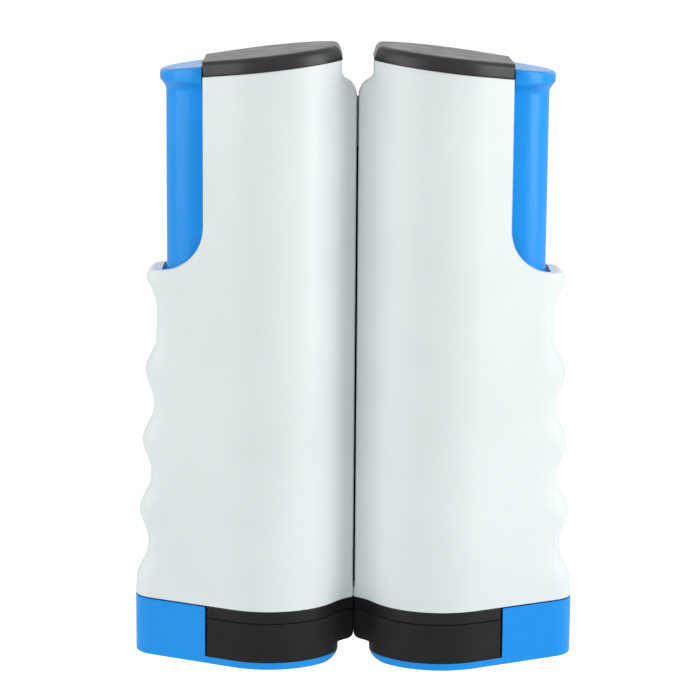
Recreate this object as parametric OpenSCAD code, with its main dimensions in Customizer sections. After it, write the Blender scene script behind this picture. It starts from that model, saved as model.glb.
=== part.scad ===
// Retractable table tennis net: two clamp posts, side by side with the net wound in.
// Each post grips one edge of the table. A thumb on the head pushes the slider and its
// lower jaw down against a spring, while the fingers hold the waved grip.
// Frame: X from post to post, with the middle of the gap at 0; Y from front to back; Z up.
// The modules of a post draw the right-hand one, and the left-hand one mirrors it.
// Millimetres throughout.

/* [Housing] */
// Centre plane to the axis of the round barrel
barrel_x = 26; // [25:0.1:28]
// Radius of the barrel outside
barrel_r = 23.2; // [22.8:0.1:24.5]
// Barrel axis to the axis of the grip's round nose
nose_reach = 31.8; // [31:0.1:35]
// Radius of the nose in plan
nose_r = 9; // [8:0.1:10]
// Thickness of the housing's walls
wall = 2.4; // [2:0.1:2.8]
// Barrel axis to the web between the net chamber and the slider's channel
web_reach = 17.3; // [16.8:0.1:18]
// Thickness of that web
web_t = 2; // [1.5:0.1:2.6]
// Centre plane to the flat inner side of the barrel
flat_x = 4.8; // [4:0.1:6]
// Top of the net to the underside of the cap, at the barrel axis
head_room = 5.1; // [4.5:0.1:8]

/* [Lips round the net slot] */
// Half of the gap between the lips of the two posts
half_gap = 0.3; // [0.3:0.1:1]
// Half depth of the pair of lips at their tips
lip_half = 5.7; // [4.5:0.1:7]
// Radius of the hollow that blends each lip into the barrel
lip_blend_r = 18; // [14:0.5:24]
// Radius of the lips' top corner, seen from the front
lip_top_r = 5; // [3:0.5:9]
// Top of the lips to the underside of the cap
lip_drop = 6; // [3:0.1:7]
// Width of the slot that the net passes through
slot_w = 1.6; // [1.2:0.1:2.4]

/* [Finger grip] */
// Number of finger scoops below the index finger's
finger_count = 3; // [2:1:3]
// Height taken by one finger scoop
finger_pitch = 21.6; // [20:0.1:22.5]
// Height of the longer scoop for the index finger
index_span = 28.2; // [25:0.1:29]
// Depth of the scoops
scoop_depth = 3.1; // [1:0.05:3.2]
// Height over which a scoop deepens from a crest to its floor
scoop_ramp = 9.6; // [6:0.1:9.9]
// How far the grip leans in for each millimetre of height
grip_lean = 0.048; // [0.03:0.002:0.05]
// Bottom edge of the grip to its lowest crest
grip_foot = 4.9; // [1:0.1:5.5]
// Radius of the bead along the shoulder's outer edge
shoulder_r = 2.9; // [1.5:0.1:3.2]
// How far the bead stands out past the line of the crests
shoulder_out = 0.8; // [0:0.1:1.2]
// Radius of the recess above the grip, seen from the front
recess_r = 14; // [12:0.5:16]

/* [Top cap] */
// Thickness of the cap's sloping plate
cap_t = 4.5; // [3.5:0.1:6]
// Fall of the cap for each millimetre outwards
cap_fall = 0.118; // [0.08:0.002:0.13]
// How far the cap's foot overhangs the housing
cap_overhang = 0.4; // [0.2:0.1:0.8]
// How far the cap's top edge is drawn in from its foot
cap_draft = 0.8; // [0.4:0.1:1.6]
// Chamfer along the cap's top edge
cap_round = 0.5; // [0.3:0.1:1]
// Depth of the cap's locating skirt
skirt_depth = 2.5; // [1.5:0.1:3]
// Thickness of the locating skirt
skirt_t = 1.6; // [1.2:0.1:2]

/* [Jaws] */
// Thickness of the lower jaw's plate
plate_t = 2.1; // [1.8:0.1:3]
// Thickness of the rubber pad on the plate
pad_t = 11.9; // [8:0.1:16]
// Thickness of the upper jaw below the housing
jaw_t = 3.9; // [3.4:0.1:6]
// Thickness of the upper jaw's plug inside the housing
plug_t = 3; // [2.5:0.1:4]
// Running gap between the jaws and the slider's back panel
panel_gap = 1.1; // [0.6:0.1:1.5]
// Plate to the bottom of the pad's tab under the lips
tab_lift = 2.9; // [2:0.1:5]
// Rounding of the tab's lower corner
tab_r = 1.6; // [1:0.1:2.5]
// How far the tab's tip lies back from the tips of the lips
tab_back = 0.1; // [0:0.1:1]
// How far the jaws open
travel = 42; // [30:1:43]

/* [Slider] */
// Radius of the slider's column
column_r = 10.6; // [10:0.1:10.8]
// Centre of the column's round, outwards of its flat face
column_in = 0.5; // [0.2:0.1:0.8]
// Gap between the web and the slider's flat face
web_gap = 0.4; // [0.3:0.05:0.6]
// Gap between the housing's bottom edge and the back panel
panel_drop = 0.4; // [0.2:0.1:0.8]
// Radius of the thumb head
head_r = 14.6; // [13:0.1:15.5]
// How far the head stands out past the column
head_out = 1.8; // [0.4:0.1:2.2]
// Thickness of the thumb head at its outer edge
head_t = 3.2; // [2.5:0.1:4.5]
// Step of the head past the top of the flare
flare_step = 0.4; // [0.2:0.1:1.4]
// Height of the flare between the column and the head
flare_h = 3; // [2:0.1:6]
// How far the top of the head lies below the top of the cap
head_drop = 1.5; // [1:0.1:2.5]
// Gap between the column's tip and the nose of the housing
channel_gap = 1.2; // [0.9:0.1:1.4]
// Width of the ribs in the nose that the column slides along
rib_w = 2; // [1.2:0.1:3]
// Parting plane of the shells to the middle of each rib
rib_y = 2.5; // [2:0.1:3.5]

/* [Clamp spring] */
// Outside diameter of the spring
spring_od = 6; // [5.4:0.1:6.2]
// Diameter of the spring's wire
spring_wire = 0.9; // [0.7:0.05:1]
// Number of turns
spring_turns = 19; // [15:1:22]
// Length of the spring with the jaws shut
spring_len = 85; // [80:0.5:90]
// Height of the seat's bar across the channel
seat_t = 3; // [2.5:0.1:4]
// Width of the seat's bar
seat_w = 4.8; // [4.2:0.1:5.2]
// Bottom of the housing to the underside of the seat
seat_lift = 4; // [3.5:0.1:6]
// Depth of the pockets in the shells that hold the ends of the seat
pocket_d = 1; // [0.6:0.1:1.4]
// Length of the slider's peg inside the top of the spring
peg_h = 4; // [3:0.5:6]
// Gap between the two closed turns at each end of the spring
coil_gap = 0.45; // [0.42:0.01:0.6]

/* [Net] */
// Height of the net
net_h = 152.5; // [150:0.5:156]
// Length of net that is wound on the roller
net_len = 1700; // [1525:5:1800]
// Thickness of one layer of wound net
net_t = 0.36; // [0.3:0.01:0.37]
// Depth of the white tape along the top of the net
tape_h = 15; // [12:0.5:18]
// Thickness of the tape
tape_t = 0.5; // [0.4:0.05:0.7]
// Radius of the roller's tube
tube_r = 6; // [5.6:0.1:6.2]
// Wall of the roller's tube
tube_t = 1.4; // [1.2:0.1:1.6]
// Radius of the fixed axle inside the roller
axle_r = 2; // [1.6:0.1:2.2]
// Radius of the bar that holds the end of the net in the other post
bar_r = 2; // [1.6:0.1:2.4]
// Length of the roller's end bushes
bush_l = 6; // [4:0.5:10]
// Depth of the sockets that hold the ends of the axle and of the bar
socket_d = 3; // [2:0.1:3.4]
// Wall of the hub under each cap
hub_wall = 2.4; // [1.6:0.1:3]

/* [Screws] */
// Radius of the screws' shanks
screw_r = 1.1; // [0.9:0.05:1.2]
// Radius of the screws' heads
screw_head_r = 1.7; // [1.6:0.05:1.8]
// Height of the screws' heads
screw_head_h = 1.4; // [1.2:0.1:1.6]
// Radius of the screw bosses
boss_r = 2.5; // [2.2:0.1:2.6]
// Height of the screw bosses
boss_h = 10; // [6:0.5:16]
// How far the jaw screws' heads lie inside the jaw's face
head_sink = 0.3; // [0.1:0.1:1]
// Tip of a jaw screw to the top of its boss
tip_room = 1.5; // [1:0.1:3]
// Parting plane of the shells to the underside of the grip screws' heads
grip_head_y = 4; // [3:0.1:4.6]
// Length of the grip screws' shanks
grip_screw_l = 10; // [8:0.5:11]
// Width of the slots in the screws' heads
drive_w = 0.5; // [0.4:0.1:0.7]
// Depth of the slots in the screws' heads
drive_d = 0.6; // [0.4:0.1:0.8]

/* [Hidden] */
$fn = 64;

white = [0.91, 0.93, 0.93];
blue = [0.16, 0.56, 0.93];
black = [0.15, 0.15, 0.15];
rubber = [0.1, 0.1, 0.1];
steel = [0.72, 0.73, 0.75];
netting = [0.12, 0.13, 0.13];
tape = [0.95, 0.95, 0.95];

// Clearances
press = 0.01;      // round pieces pressed into each other
fit = 0.05;        // round pieces in their holes
slip = 0.2;        // pieces that drop into each other
running = 0.3;     // pieces that pass each other
coil_room = 0.35;  // between a spring and the peg inside it
winding = 0.5;     // round the return spring inside the roller
jaw_gap = 0.1;     // between the shut jaws
end_gap = 0.4;     // at the ends of the roller

// How far a cut runs past the face it opens, how far a boss sinks into its wall, the
// thickness of the slices that a hull joins, and a length beyond any piece
past = 1;
root = 0.4;
skin = 0.01;
far = 2 * net_h;

// Heights
pad_top = plate_t + pad_t;
seam_z = pad_top + jaw_gap;
shell_z = seam_z + jaw_t;
floor_z = shell_z + plug_t;
net_z0 = floor_z + end_gap;
net_z1 = net_z0 + net_h;
cap_z = net_z1 + head_room;
hub_z = net_z1 + end_gap;
knuckle_z = shell_z + grip_foot + finger_count * finger_pitch;
crest_z = knuckle_z + index_span;
shoulder_z = crest_z + shoulder_r;
seat_z = shell_z + seat_lift;
spring_z0 = seat_z + seat_t;
spring_z1 = spring_z0 + spring_len;

// Distances outwards from the centre plane
nose_x = barrel_x + nose_reach;
nose_tip = nose_x + nose_r;
web_in = barrel_x + web_reach;
web_out = web_in + web_t;
panel_x = web_out + web_gap;
jaw_end = panel_x - panel_gap;
column_x = panel_x + column_in;
column_tip = column_x + column_r;
channel_x = column_tip + channel_gap;
head_tip = column_tip + head_out;
recess_x = web_out + recess_r;
chamber_x = flat_x + wall;
spring_x = (panel_x + column_tip) / 2;
bar_x = chamber_x + bar_r + 2 * max(net_t, tape_t) + running;

// Radii and lengths
inner_r = barrel_r - wall;
tube_in = tube_r - tube_t;
roll_r = sqrt(tube_r * tube_r + net_len * net_t / PI);
spring_r = (spring_od - spring_wire) / 2;
window_w = spring_od + 2 * slip;
peg_r = spring_od / 2 - spring_wire - coil_room;
slope = atan(cap_fall);

// Screws: four up into the housing through the upper jaw, two across the grip
boss_ring = inner_r - boss_r + root;
boss_angles = [40, 140, 220, 320];
jaw_screw_z = seam_z + head_sink;
jaw_screw_l = floor_z + boss_h - tip_room - jaw_screw_z;
grip_screw_z = [for (k = [1, finger_count]) shell_z + grip_foot + k * finger_pitch];

// ---- Outlines in plan ----

// Angle of the straight flanks between the barrel and the nose
flank_a = asin((barrel_r - nose_r) / nose_reach);

// Half depth of the flank at x, for an outline drawn in by inset
function flank_y(x, inset = 0) =
    (barrel_r - inset - (x - barrel_x) * sin(flank_a)) / cos(flank_a);

// Barrel, straight flanks and round nose, from z0 to z1
module teardrop(z0, z1, inset = 0) {
    r0 = barrel_r - inset;
    r1 = nose_r - inset;
    p0 = [barrel_x + r0 * sin(flank_a), r0 * cos(flank_a)];
    p1 = [nose_x + r1 * sin(flank_a), r1 * cos(flank_a)];
    translate([0, 0, z0]) {
        translate([barrel_x, 0, 0])
            cylinder(r = r0, h = z1 - z0);
        translate([nose_x, 0, 0])
            cylinder(r = r1, h = z1 - z0);
        linear_extrude(z1 - z0)
            polygon([p0, p1, [p1[0], -p1[1]], [p0[0], -p0[1]]]);
    }
}

// What lies of the children between two distances from the centre plane
module between_x(x0, x1) {
    intersection() {
        union()
            children();
        translate([x0, -far / 2, -far / 2])
            cube([x1 - x0, far, 2 * far]);
    }
}

// Centre of the hollow that blends a lip into the barrel: the hollow passes through the
// corner of the lip's tip and touches the barrel
tip_v = [half_gap - barrel_x, lip_half];
tip_d = norm(tip_v);
blend_reach = barrel_r + lip_blend_r;
blend_along = (pow(blend_reach, 2) - pow(lip_blend_r, 2) + pow(tip_d, 2)) / (2 * tip_d);
blend_off = sqrt(pow(blend_reach, 2) - pow(blend_along, 2));
blend_c = [barrel_x, 0] + (blend_along * tip_v + blend_off * [tip_v[1], -tip_v[0]]) / tip_d;
blend_a0 = atan2(lip_half - blend_c[1], half_gap - blend_c[0]);
blend_a1 = atan2(-blend_c[1], barrel_x - blend_c[0]);
blend_steps = 6;

// The two lips, rooted inside the barrel, from z0 to z1
module lips(z0, z1) {
    arc = [for (i = [0 : blend_steps])
        let (a = blend_a0 + (blend_a1 - blend_a0) * i / blend_steps,
             r = lip_blend_r + (i == blend_steps ? fit : 0))
        blend_c + r * [cos(a), sin(a)]];
    inside = [barrel_x - barrel_r / 2, barrel_r / 3];
    upper = concat(arc, [inside]);
    lower = [for (i = [len(upper) - 1 : -1 : 0]) [upper[i][0], -upper[i][1]]];
    translate([0, 0, z0])
        linear_extrude(z1 - z0)
            polygon(concat(upper, lower));
}

// Whole post with its lips, as a plain block from z0 to z1
module post_block(z0, z1) {
    between_x(flat_x, far)
        teardrop(z0, z1);
    lips(z0, z1);
}

// Net chamber inside the barrel, and the slider's channel beside it
module chamber(z0, z1, inset = 0) {
    between_x(chamber_x + inset, web_in - inset)
        translate([barrel_x, 0, z0])
            cylinder(r = inner_r - inset, h = z1 - z0);
}

module channel(z0, z1) {
    between_x(web_out, channel_x)
        teardrop(z0, z1, wall);
}

// The slider's column, and its thumb head drawn in by inset
module column(z0, z1) {
    between_x(panel_x, far)
        translate([column_x, 0, z0])
            cylinder(r = column_r, h = z1 - z0);
}

module head(z0, z1, inset = 0) {
    between_x(panel_x, far)
        translate([head_tip - head_r, 0, z0])
            cylinder(r = head_r - inset, h = z1 - z0);
}

// ---- Outlines seen from the front: X and Z, given depth along Y ----

module through_y() {
    translate([0, far / 2, 0])
        rotate([90, 0, 0])
            linear_extrude(far)
                children();
}

// Heights of the crests between the scoops, and from z to the nearest one
crests = concat([for (k = [0 : finger_count]) shell_z + grip_foot + k * finger_pitch], [crest_z]);
function crest_dist(z) = min([for (c = crests) abs(z - c)]);

// The grip's surface at height z: each scoop eases in from a crest to a flat floor
function ease(s) = s < 1 ? s * s * (3 - 2 * s) : 1;
function grip_x(z) = nose_tip - grip_lean * (z - shell_z)
    - (z > crests[0] ? scoop_depth * ease(crest_dist(z) / scoop_ramp) : 0);

grip_steps = 48;

module grip_profile() {
    wave = [for (i = [0 : grip_steps])
        let (z = shell_z + (crest_z - shell_z) * i / grip_steps)
        [grip_x(z), z]];
    bead = [grip_x(crest_z) - shoulder_r + shoulder_out, crest_z];
    polygon(concat([[0, shell_z]], wave, [[bead[0], crest_z], [bead[0], far], [0, far]]));
    translate(bead)
        circle(r = shoulder_r);
}

// All that is open above the shoulder, outside the web
module recess_profile() {
    centre = [recess_x, shoulder_z + recess_r];
    translate(centre)
        circle(r = recess_r);
    translate([web_out, centre[1]])
        square(far);
    translate([recess_x, shoulder_z])
        square(far);
}

// Height of the cap's underside at x
function cap_under(x) = cap_z - cap_fall * (x - barrel_x);

// Corner that is cut off the top of the lips
module lip_top_profile() {
    centre = [half_gap + lip_top_r, cap_under(flat_x) - lip_drop - lip_top_r];
    difference() {
        translate([-past, centre[1]])
            square([flat_x + past, far]);
        translate(centre)
            circle(r = lip_top_r);
    }
}

// Band between two heights that follow the slope of the cap
module sloping_band(z0, z1) {
    x0 = -past;
    x1 = nose_tip + past;
    polygon([
        [x0, z0 - cap_fall * (x0 - barrel_x)],
        [x1, z0 - cap_fall * (x1 - barrel_x)],
        [x1, z1 - cap_fall * (x1 - barrel_x)],
        [x0, z1 - cap_fall * (x0 - barrel_x)]
    ]);
}

// ---- Housing ----

module at_bosses() {
    for (a = boss_angles)
        translate([barrel_x + boss_ring * cos(a), boss_ring * sin(a), 0])
            children();
}

// Midway between the channel and the grip's surface
module at_grip_screws() {
    for (z = grip_screw_z)
        translate([(channel_x + grip_x(z)) / 2, 0, z])
            rotate([-90, 0, 0])
                children();
}

// Whole housing before it is split into a front and a back shell
module housing() {
    difference() {
        intersection() {
            union()
                post_block(shell_z, far);
            through_y()
                grip_profile();
            through_y()
                sloping_band(-far, cap_z);
        }
        chamber(shell_z - past, far);
        channel(shell_z - past, far);
        translate([-past, -slot_w / 2, floor_z])
            cube([chamber_x + 2 * past, slot_w, hub_z - floor_z]);
        through_y()
            recess_profile();
        through_y()
            lip_top_profile();
        seat_bar(fit);
        at_grip_screws()
            screw_cut();
    }
    at_bosses()
        translate([0, 0, floor_z])
            difference() {
                cylinder(r = boss_r, h = boss_h);
                translate([0, 0, -past])
                    cylinder(r = screw_r + fit, h = boss_h + 2 * past);
            }
    guide_ribs();
}

// Ribs in the nose that the column slides along
module guide_ribs() {
    rib_in = column_tip + running;
    for (side = [-1, 1])
        translate([rib_in, side * rib_y - rib_w / 2, shell_z + past])
            cube([channel_x + root - rib_in, rib_w, crest_z - shell_z - 2 * past]);
}

// Hole, head pocket and thread pilot of a grip screw, along +Z from the parting plane
module screw_cut() {
    translate([0, 0, grip_head_y - grip_screw_l])
        cylinder(r = screw_r + fit, h = grip_screw_l + past);
    translate([0, 0, grip_head_y])
        cylinder(r = screw_head_r + slip, h = nose_r);
}

module half_space(side) {
    translate([-past, side > 0 ? 0 : -far, 0])
        cube([far, far, far]);
}

module front_shell() {
    color(white)
        intersection() {
            housing();
            half_space(-1);
        }
}

module back_shell() {
    color(white)
        intersection() {
            housing();
            half_space(1);
        }
}

// ---- Caps and jaws ----

// Slice of the cap's plate at height z over its foot, drawn in by inset from the foot
module cap_slice(z, inset) {
    between_x(flat_x - cap_overhang + inset, web_out - slip)
        teardrop(z, z + skin, inset - cap_overhang, $fn = 48);
}

// The cap's sloping plate, skirt and the hub that holds the top of a rod
module top_cap(rod_x, rod_r) {
    color(black)
        difference() {
            union() {
                translate([barrel_x, 0, cap_z + press])
                    rotate([0, slope, 0])
                        translate([-barrel_x, 0, 0])
                            hull() {
                                cap_slice(0, 0);
                                cap_slice(cap_t - cap_round, cap_draft);
                                cap_slice(cap_t - skin, cap_draft + cap_round);
                            }
                intersection() {
                    difference() {
                        chamber(hub_z, far, slip);
                        chamber(hub_z - past, far, slip + skirt_t);
                    }
                    through_y()
                        sloping_band(cap_z - skirt_depth, cap_z + past);
                }
                intersection() {
                    chamber(hub_z, far, slip);
                    translate([rod_x, 0, hub_z])
                        cylinder(r = rod_r + hub_wall, h = far);
                    through_y()
                        sloping_band(-far, cap_z + past);
                }
            }
            translate([rod_x, 0, hub_z - past])
                cylinder(r = rod_r + fit, h = socket_d + past);
        }
}

// Upper jaw below the housing, its plug inside, and the socket for the foot of a rod
module upper_jaw(rod_x, rod_r) {
    color(black)
        difference() {
            union() {
                between_x(0, jaw_end)
                    post_block(seam_z, shell_z);
                chamber(shell_z - past, floor_z, slip);
            }
            translate([rod_x, 0, floor_z - socket_d])
                cylinder(r = rod_r + fit, h = socket_d + past);
            at_bosses() {
                translate([0, 0, seam_z - past])
                    cylinder(r = screw_r + fit, h = far / 2);
                translate([0, 0, seam_z - past])
                    cylinder(r = screw_head_r + slip, h = jaw_screw_z + screw_head_h - seam_z + past);
            }
        }
}

// Rubber pad of the lower jaw, with the tab that reaches out under the lips
module jaw_pad() {
    tab_z = plate_t + tab_lift;
    tab_x = half_gap + tab_back;
    tab_c = [tab_x + tab_r, tab_z + tab_r];
    color(rubber)
        intersection() {
            between_x(tab_x, jaw_end)
                post_block(plate_t, pad_top);
            through_y() {
                translate([flat_x, 0])
                    square([far, far]);
                translate([tab_c[0], tab_z])
                    square([flat_x - tab_c[0] + past, far]);
                translate([tab_x, tab_c[1]])
                    square([flat_x - tab_x + past, far]);
                translate(tab_c)
                    circle(r = tab_r);
            }
        }
}

// ---- Slider ----

head_under = cap_under(head_tip) + cap_t - head_drop - head_t;

module slider() {
    color(blue)
        difference() {
            union() {
                between_x(flat_x, far)
                    teardrop(0, plate_t);
                between_x(panel_x, far)
                    teardrop(0, shell_z - panel_drop);
                column(0, head_under + past);
                intersection() {
                    head(head_under, far);
                    through_y()
                        sloping_band(-far, cap_z + cap_t - head_drop);
                }
                hull() {
                    column(head_under - flare_h, head_under - flare_h + skin, $fn = 32);
                    head(head_under, head_under + skin, flare_step, $fn = 32);
                }
            }
            difference() {
                translate([spring_x - window_w / 2, -far / 2, seat_z - running])
                    cube([window_w, far, spring_z1 - seat_z + running]);
                translate([spring_x, 0, spring_z1 - peg_h])
                    cylinder(r = peg_r, h = peg_h + past);
            }
        }
}

// ---- Clamp spring and its seat ----

// Bar across the channel, let into pockets in both shells
module seat_bar(gap = 0) {
    half = flank_y(spring_x, wall) + pocket_d + gap;
    w = seat_w + 2 * gap;
    translate([spring_x - w / 2, -half, seat_z - gap])
        cube([w, 2 * half, seat_t + 2 * gap]);
}

// The seat, with the pin that guides the spring and stops the slider's peg
module spring_seat() {
    pin_top = spring_z1 - peg_h - travel - running;
    color(black) {
        seat_bar();
        translate([spring_x, 0, spring_z0 - past])
            cylinder(r = peg_r, h = pin_top - spring_z0 + past);
    }
}

wire_sides = 6;
turn_rings = 8;
close_pitch = spring_wire + coil_gap;
close_turns = 1.5;
coil_h = spring_len - spring_wire;
open_pitch = (coil_h - 2 * close_turns * close_pitch) / (spring_turns - 2 * close_turns);

// Height of the wire's centre after t turns: closed ends and an open middle
function coil_z(t) = t < close_turns ? t * close_pitch
    : t > spring_turns - close_turns ? coil_h - (spring_turns - t) * close_pitch
    : close_turns * close_pitch + (t - close_turns) * open_pitch;

// Centre of the wire at ring i, and the least gap between one turn and the next ones
rings = spring_turns * turn_rings;
function wire_at(i) =
    [spring_r * cos(360 * i / turn_rings), spring_r * sin(360 * i / turn_rings),
     coil_z(i / turn_rings)];
turn_gap = min([for (i = [0 : rings - turn_rings / 2],
                     j = [i + turn_rings / 2 : min(rings, i + 2 * turn_rings)])
    norm(wire_at(i) - wire_at(j))]) - spring_wire;

module clamp_spring() {
    points = [for (i = [0 : rings], k = [0 : wire_sides - 1])
        let (a = 360 * i / turn_rings,
             b = 360 * k / wire_sides,
             r = spring_r + spring_wire / 2 * cos(b))
        [r * cos(a), r * sin(a), coil_z(i / turn_rings) + spring_wire / 2 * sin(b)]];
    side_faces = [for (i = [0 : rings - 1], k = [0 : wire_sides - 1], half = [0, 1])
        let (j = (k + 1) % wire_sides,
             a = i * wire_sides + k,
             b = i * wire_sides + j,
             c = (i + 1) * wire_sides + j,
             d = (i + 1) * wire_sides + k)
        half == 0 ? [a, b, c] : [a, c, d]];
    last = rings * wire_sides;
    foot = [for (k = [1 : wire_sides - 2]) [0, k + 1, k]];
    top = [for (k = [1 : wire_sides - 2]) [last, last + k, last + k + 1]];
    color(steel)
        translate([spring_x, 0, spring_z0 + spring_wire / 2])
            polyhedron(points = points, faces = concat(side_faces, foot, top));
}

// ---- Screws ----

module screw(length) {
    cylinder(r = screw_r, h = length);
    difference() {
        cylinder(r = screw_head_r, h = screw_head_h);
        translate([-screw_head_r, -drive_w / 2, -past])
            cube([2 * screw_head_r, drive_w, past + drive_d]);
    }
}

module jaw_screws() {
    color(steel)
        at_bosses()
            translate([0, 0, jaw_screw_z])
                screw(jaw_screw_l);
}

module grip_screws() {
    color(steel)
        at_grip_screws()
            translate([0, 0, grip_head_y + screw_head_h])
                mirror([0, 0, 1])
                    screw(grip_screw_l + screw_head_h - past);
}

// ---- Net and its roller, which stands in the left-hand post ----

module ring(outer, inner, z0, z1) {
    translate([barrel_x, 0, z0])
        difference() {
            cylinder(r = outer, h = z1 - z0);
            translate([0, 0, -past])
                cylinder(r = inner, h = z1 - z0 + 2 * past);
        }
}

module roller_axle() {
    color(steel)
        translate([barrel_x, 0, floor_z - socket_d])
            cylinder(r = axle_r, h = hub_z - floor_z + 2 * socket_d);
}

module roller_tube() {
    color(white)
        ring(tube_r, tube_in, net_z0, net_z1);
}

module roller_bushes() {
    color(black) {
        ring(tube_in - press, axle_r + fit, net_z0, net_z0 + bush_l);
        ring(tube_in - press, axle_r + fit, net_z1 - bush_l, net_z1);
    }
}

// Torsion spring that winds the net back, as a sleeve of its outer shape
module return_spring() {
    color(steel)
        ring(tube_in - winding, axle_r + winding, net_z0 + bush_l, net_z1 - bush_l);
}

module net_roll() {
    color(netting)
        ring(roll_r, tube_r + press, net_z0, net_z1);
}

// Net from the roll, through both slots, to the sleeve round the bar
leave_r = roll_r + running + max(net_t, tape_t) / 2;
leave_a = acos(leave_r / (barrel_x - chamber_x));

module net_strip(z0, z1, t) {
    leave = [-barrel_x + leave_r * cos(leave_a), -leave_r * sin(leave_a)];
    entry = [-chamber_x, 0];
    along = (entry - leave) / norm(entry - leave);
    side = [-along[1], along[0]] * t / 2;
    translate([0, 0, z0])
        difference() {
            union() {
                linear_extrude(z1 - z0)
                    polygon([leave + side, entry + side, entry - side, leave - side]);
                translate([-chamber_x, -t / 2, 0])
                    cube([chamber_x + bar_x - bar_r - fit, t, z1 - z0]);
                translate([-chamber_x, 0, 0])
                    cylinder(r = t / 2 + press, h = z1 - z0);
                translate([bar_x, 0, 0])
                    cylinder(r = bar_r + fit + t, h = z1 - z0);
            }
            translate([bar_x, 0, -past])
                cylinder(r = bar_r + fit, h = z1 - z0 + 2 * past);
        }
}

module net_run() {
    color(netting)
        net_strip(net_z0, net_z1 - tape_h - fit, net_t);
}

module net_tape() {
    color(tape)
        net_strip(net_z1 - tape_h, net_z1, tape_t);
}

module net_bar() {
    color(steel)
        translate([bar_x, 0, floor_z - socket_d])
            cylinder(r = bar_r, h = hub_z - floor_z + 2 * socket_d);
}

echo(str("least gap between turns of the clamp spring: ", turn_gap, " mm"));
echo(str("room round the wound net: ", boss_ring - boss_r - roll_r, " mm"));
echo(str("room under the pressed head: ", head_under - travel - shoulder_z, " mm"));

module left() {
    mirror([1, 0, 0])
        children();
}

left() front_shell();  // left_front_shell
left() back_shell();  // left_back_shell
left() top_cap(barrel_x, axle_r);  // left_top_cap
left() upper_jaw(barrel_x, axle_r);  // left_upper_jaw
left() slider();  // left_slider
left() jaw_pad();  // left_jaw_pad
left() clamp_spring();  // left_clamp_spring
left() spring_seat();  // left_spring_seat
left() grip_screws();  // left_grip_screws
left() jaw_screws();  // left_jaw_screws
front_shell();  // right_front_shell
back_shell();  // right_back_shell
top_cap(bar_x, bar_r);  // right_top_cap
upper_jaw(bar_x, bar_r);  // right_upper_jaw
slider();  // right_slider
jaw_pad();  // right_jaw_pad
clamp_spring();  // right_clamp_spring
spring_seat();  // right_spring_seat
grip_screws();  // right_grip_screws
jaw_screws();  // right_jaw_screws
left() roller_axle();
left() roller_tube();
left() roller_bushes();
left() return_spring();
left() net_roll();
net_run();
net_tape();
net_bar();
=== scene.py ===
"""Looks of a retractable table tennis net: two clamp posts with the net wound in between them.

Each class builds and dresses one sub-assembly of a post, or the net. Pieces are drawn in
millimetres for the right-hand post, and mirrored for the left-hand one.
"""

from __future__ import annotations

import logging
import math
from dataclasses import dataclass, field
from enum import Enum
from functools import cached_property
from typing import Callable, Sequence

import bmesh
import bpy
from mathutils import Matrix, Vector

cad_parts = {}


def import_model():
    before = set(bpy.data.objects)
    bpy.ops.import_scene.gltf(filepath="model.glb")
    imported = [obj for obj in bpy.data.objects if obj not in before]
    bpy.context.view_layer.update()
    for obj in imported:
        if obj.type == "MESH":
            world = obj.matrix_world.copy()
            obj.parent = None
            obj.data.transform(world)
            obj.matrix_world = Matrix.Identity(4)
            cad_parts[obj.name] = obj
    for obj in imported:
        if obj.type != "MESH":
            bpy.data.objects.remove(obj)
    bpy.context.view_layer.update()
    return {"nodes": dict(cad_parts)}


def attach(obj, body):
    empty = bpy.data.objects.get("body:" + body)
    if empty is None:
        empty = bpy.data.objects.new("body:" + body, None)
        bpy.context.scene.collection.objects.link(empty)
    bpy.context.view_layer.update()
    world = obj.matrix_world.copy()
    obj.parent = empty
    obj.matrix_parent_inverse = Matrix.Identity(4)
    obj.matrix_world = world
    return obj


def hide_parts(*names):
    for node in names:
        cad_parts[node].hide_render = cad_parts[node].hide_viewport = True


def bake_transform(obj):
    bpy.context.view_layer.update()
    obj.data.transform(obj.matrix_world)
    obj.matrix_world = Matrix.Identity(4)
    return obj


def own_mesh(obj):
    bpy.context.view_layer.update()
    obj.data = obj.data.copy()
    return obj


BMesh = bmesh.types.BMesh
BMVert = bmesh.types.BMVert
BMEdge = bmesh.types.BMEdge
Socket = bpy.types.NodeSocket
Colour = tuple[int, int, int]
Pair = tuple[float, float]
Line = list[Pair]
Point = tuple[float, float, float]
Ring = list[Point]

LOG = logging.getLogger("net_clamp")
MM = 0.001
QUARTER = math.pi / 2
# Millimetres: the gap that keeps two faces out of one plane, and how near points are joined.
HAIR = 0.01
WELD = 1e-4
# Degrees that an edge turns: it is shaded smooth below the first, and is rounded as a hard or
# a blunt corner above the second or third.
SMOOTH_BELOW = 45.0
HARD_EDGE = 50.0
SOFT_EDGE = 25.0
# The normal's Z from which a face counts as level.
LEVEL_FACE = 0.9
# Sides of a drill, and how far, in millimetres, it starts outside what it cuts and in a wider hole.
DRILL_SIDES = 28
DRILL_OVER = 2.0
DRILL_LAP = 0.2


class Worded(Enum):
    """A choice whose name is also part of the names of pieces."""

    @property
    def word(self) -> str:
        """The name as it stands in the names of nodes and bodies."""
        return self.name.lower()


class Side(Worded):
    """The post that a piece belongs to, with the sign of its X."""

    LEFT = -1
    RIGHT = 1


class Half(Worded):
    """The front or the back half of a housing, with the sign of its Y."""

    FRONT = -1
    BACK = 1


class Zone(Enum):
    """The stretch of a housing's outer edge that a row of its skin ends at."""

    GRIP = "finger grip"
    BEAD = "bead along the shoulder"
    RECESS = "shoulder and round foot of the recess"
    UPPER = "straight edge beside the column"


# ---- Lines ----


def spread(low: float, high: float, count: int) -> list[float]:
    """Evenly spaced values from low up to high, without high itself."""
    return [low + (high - low) * i / count for i in range(count)]


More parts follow.
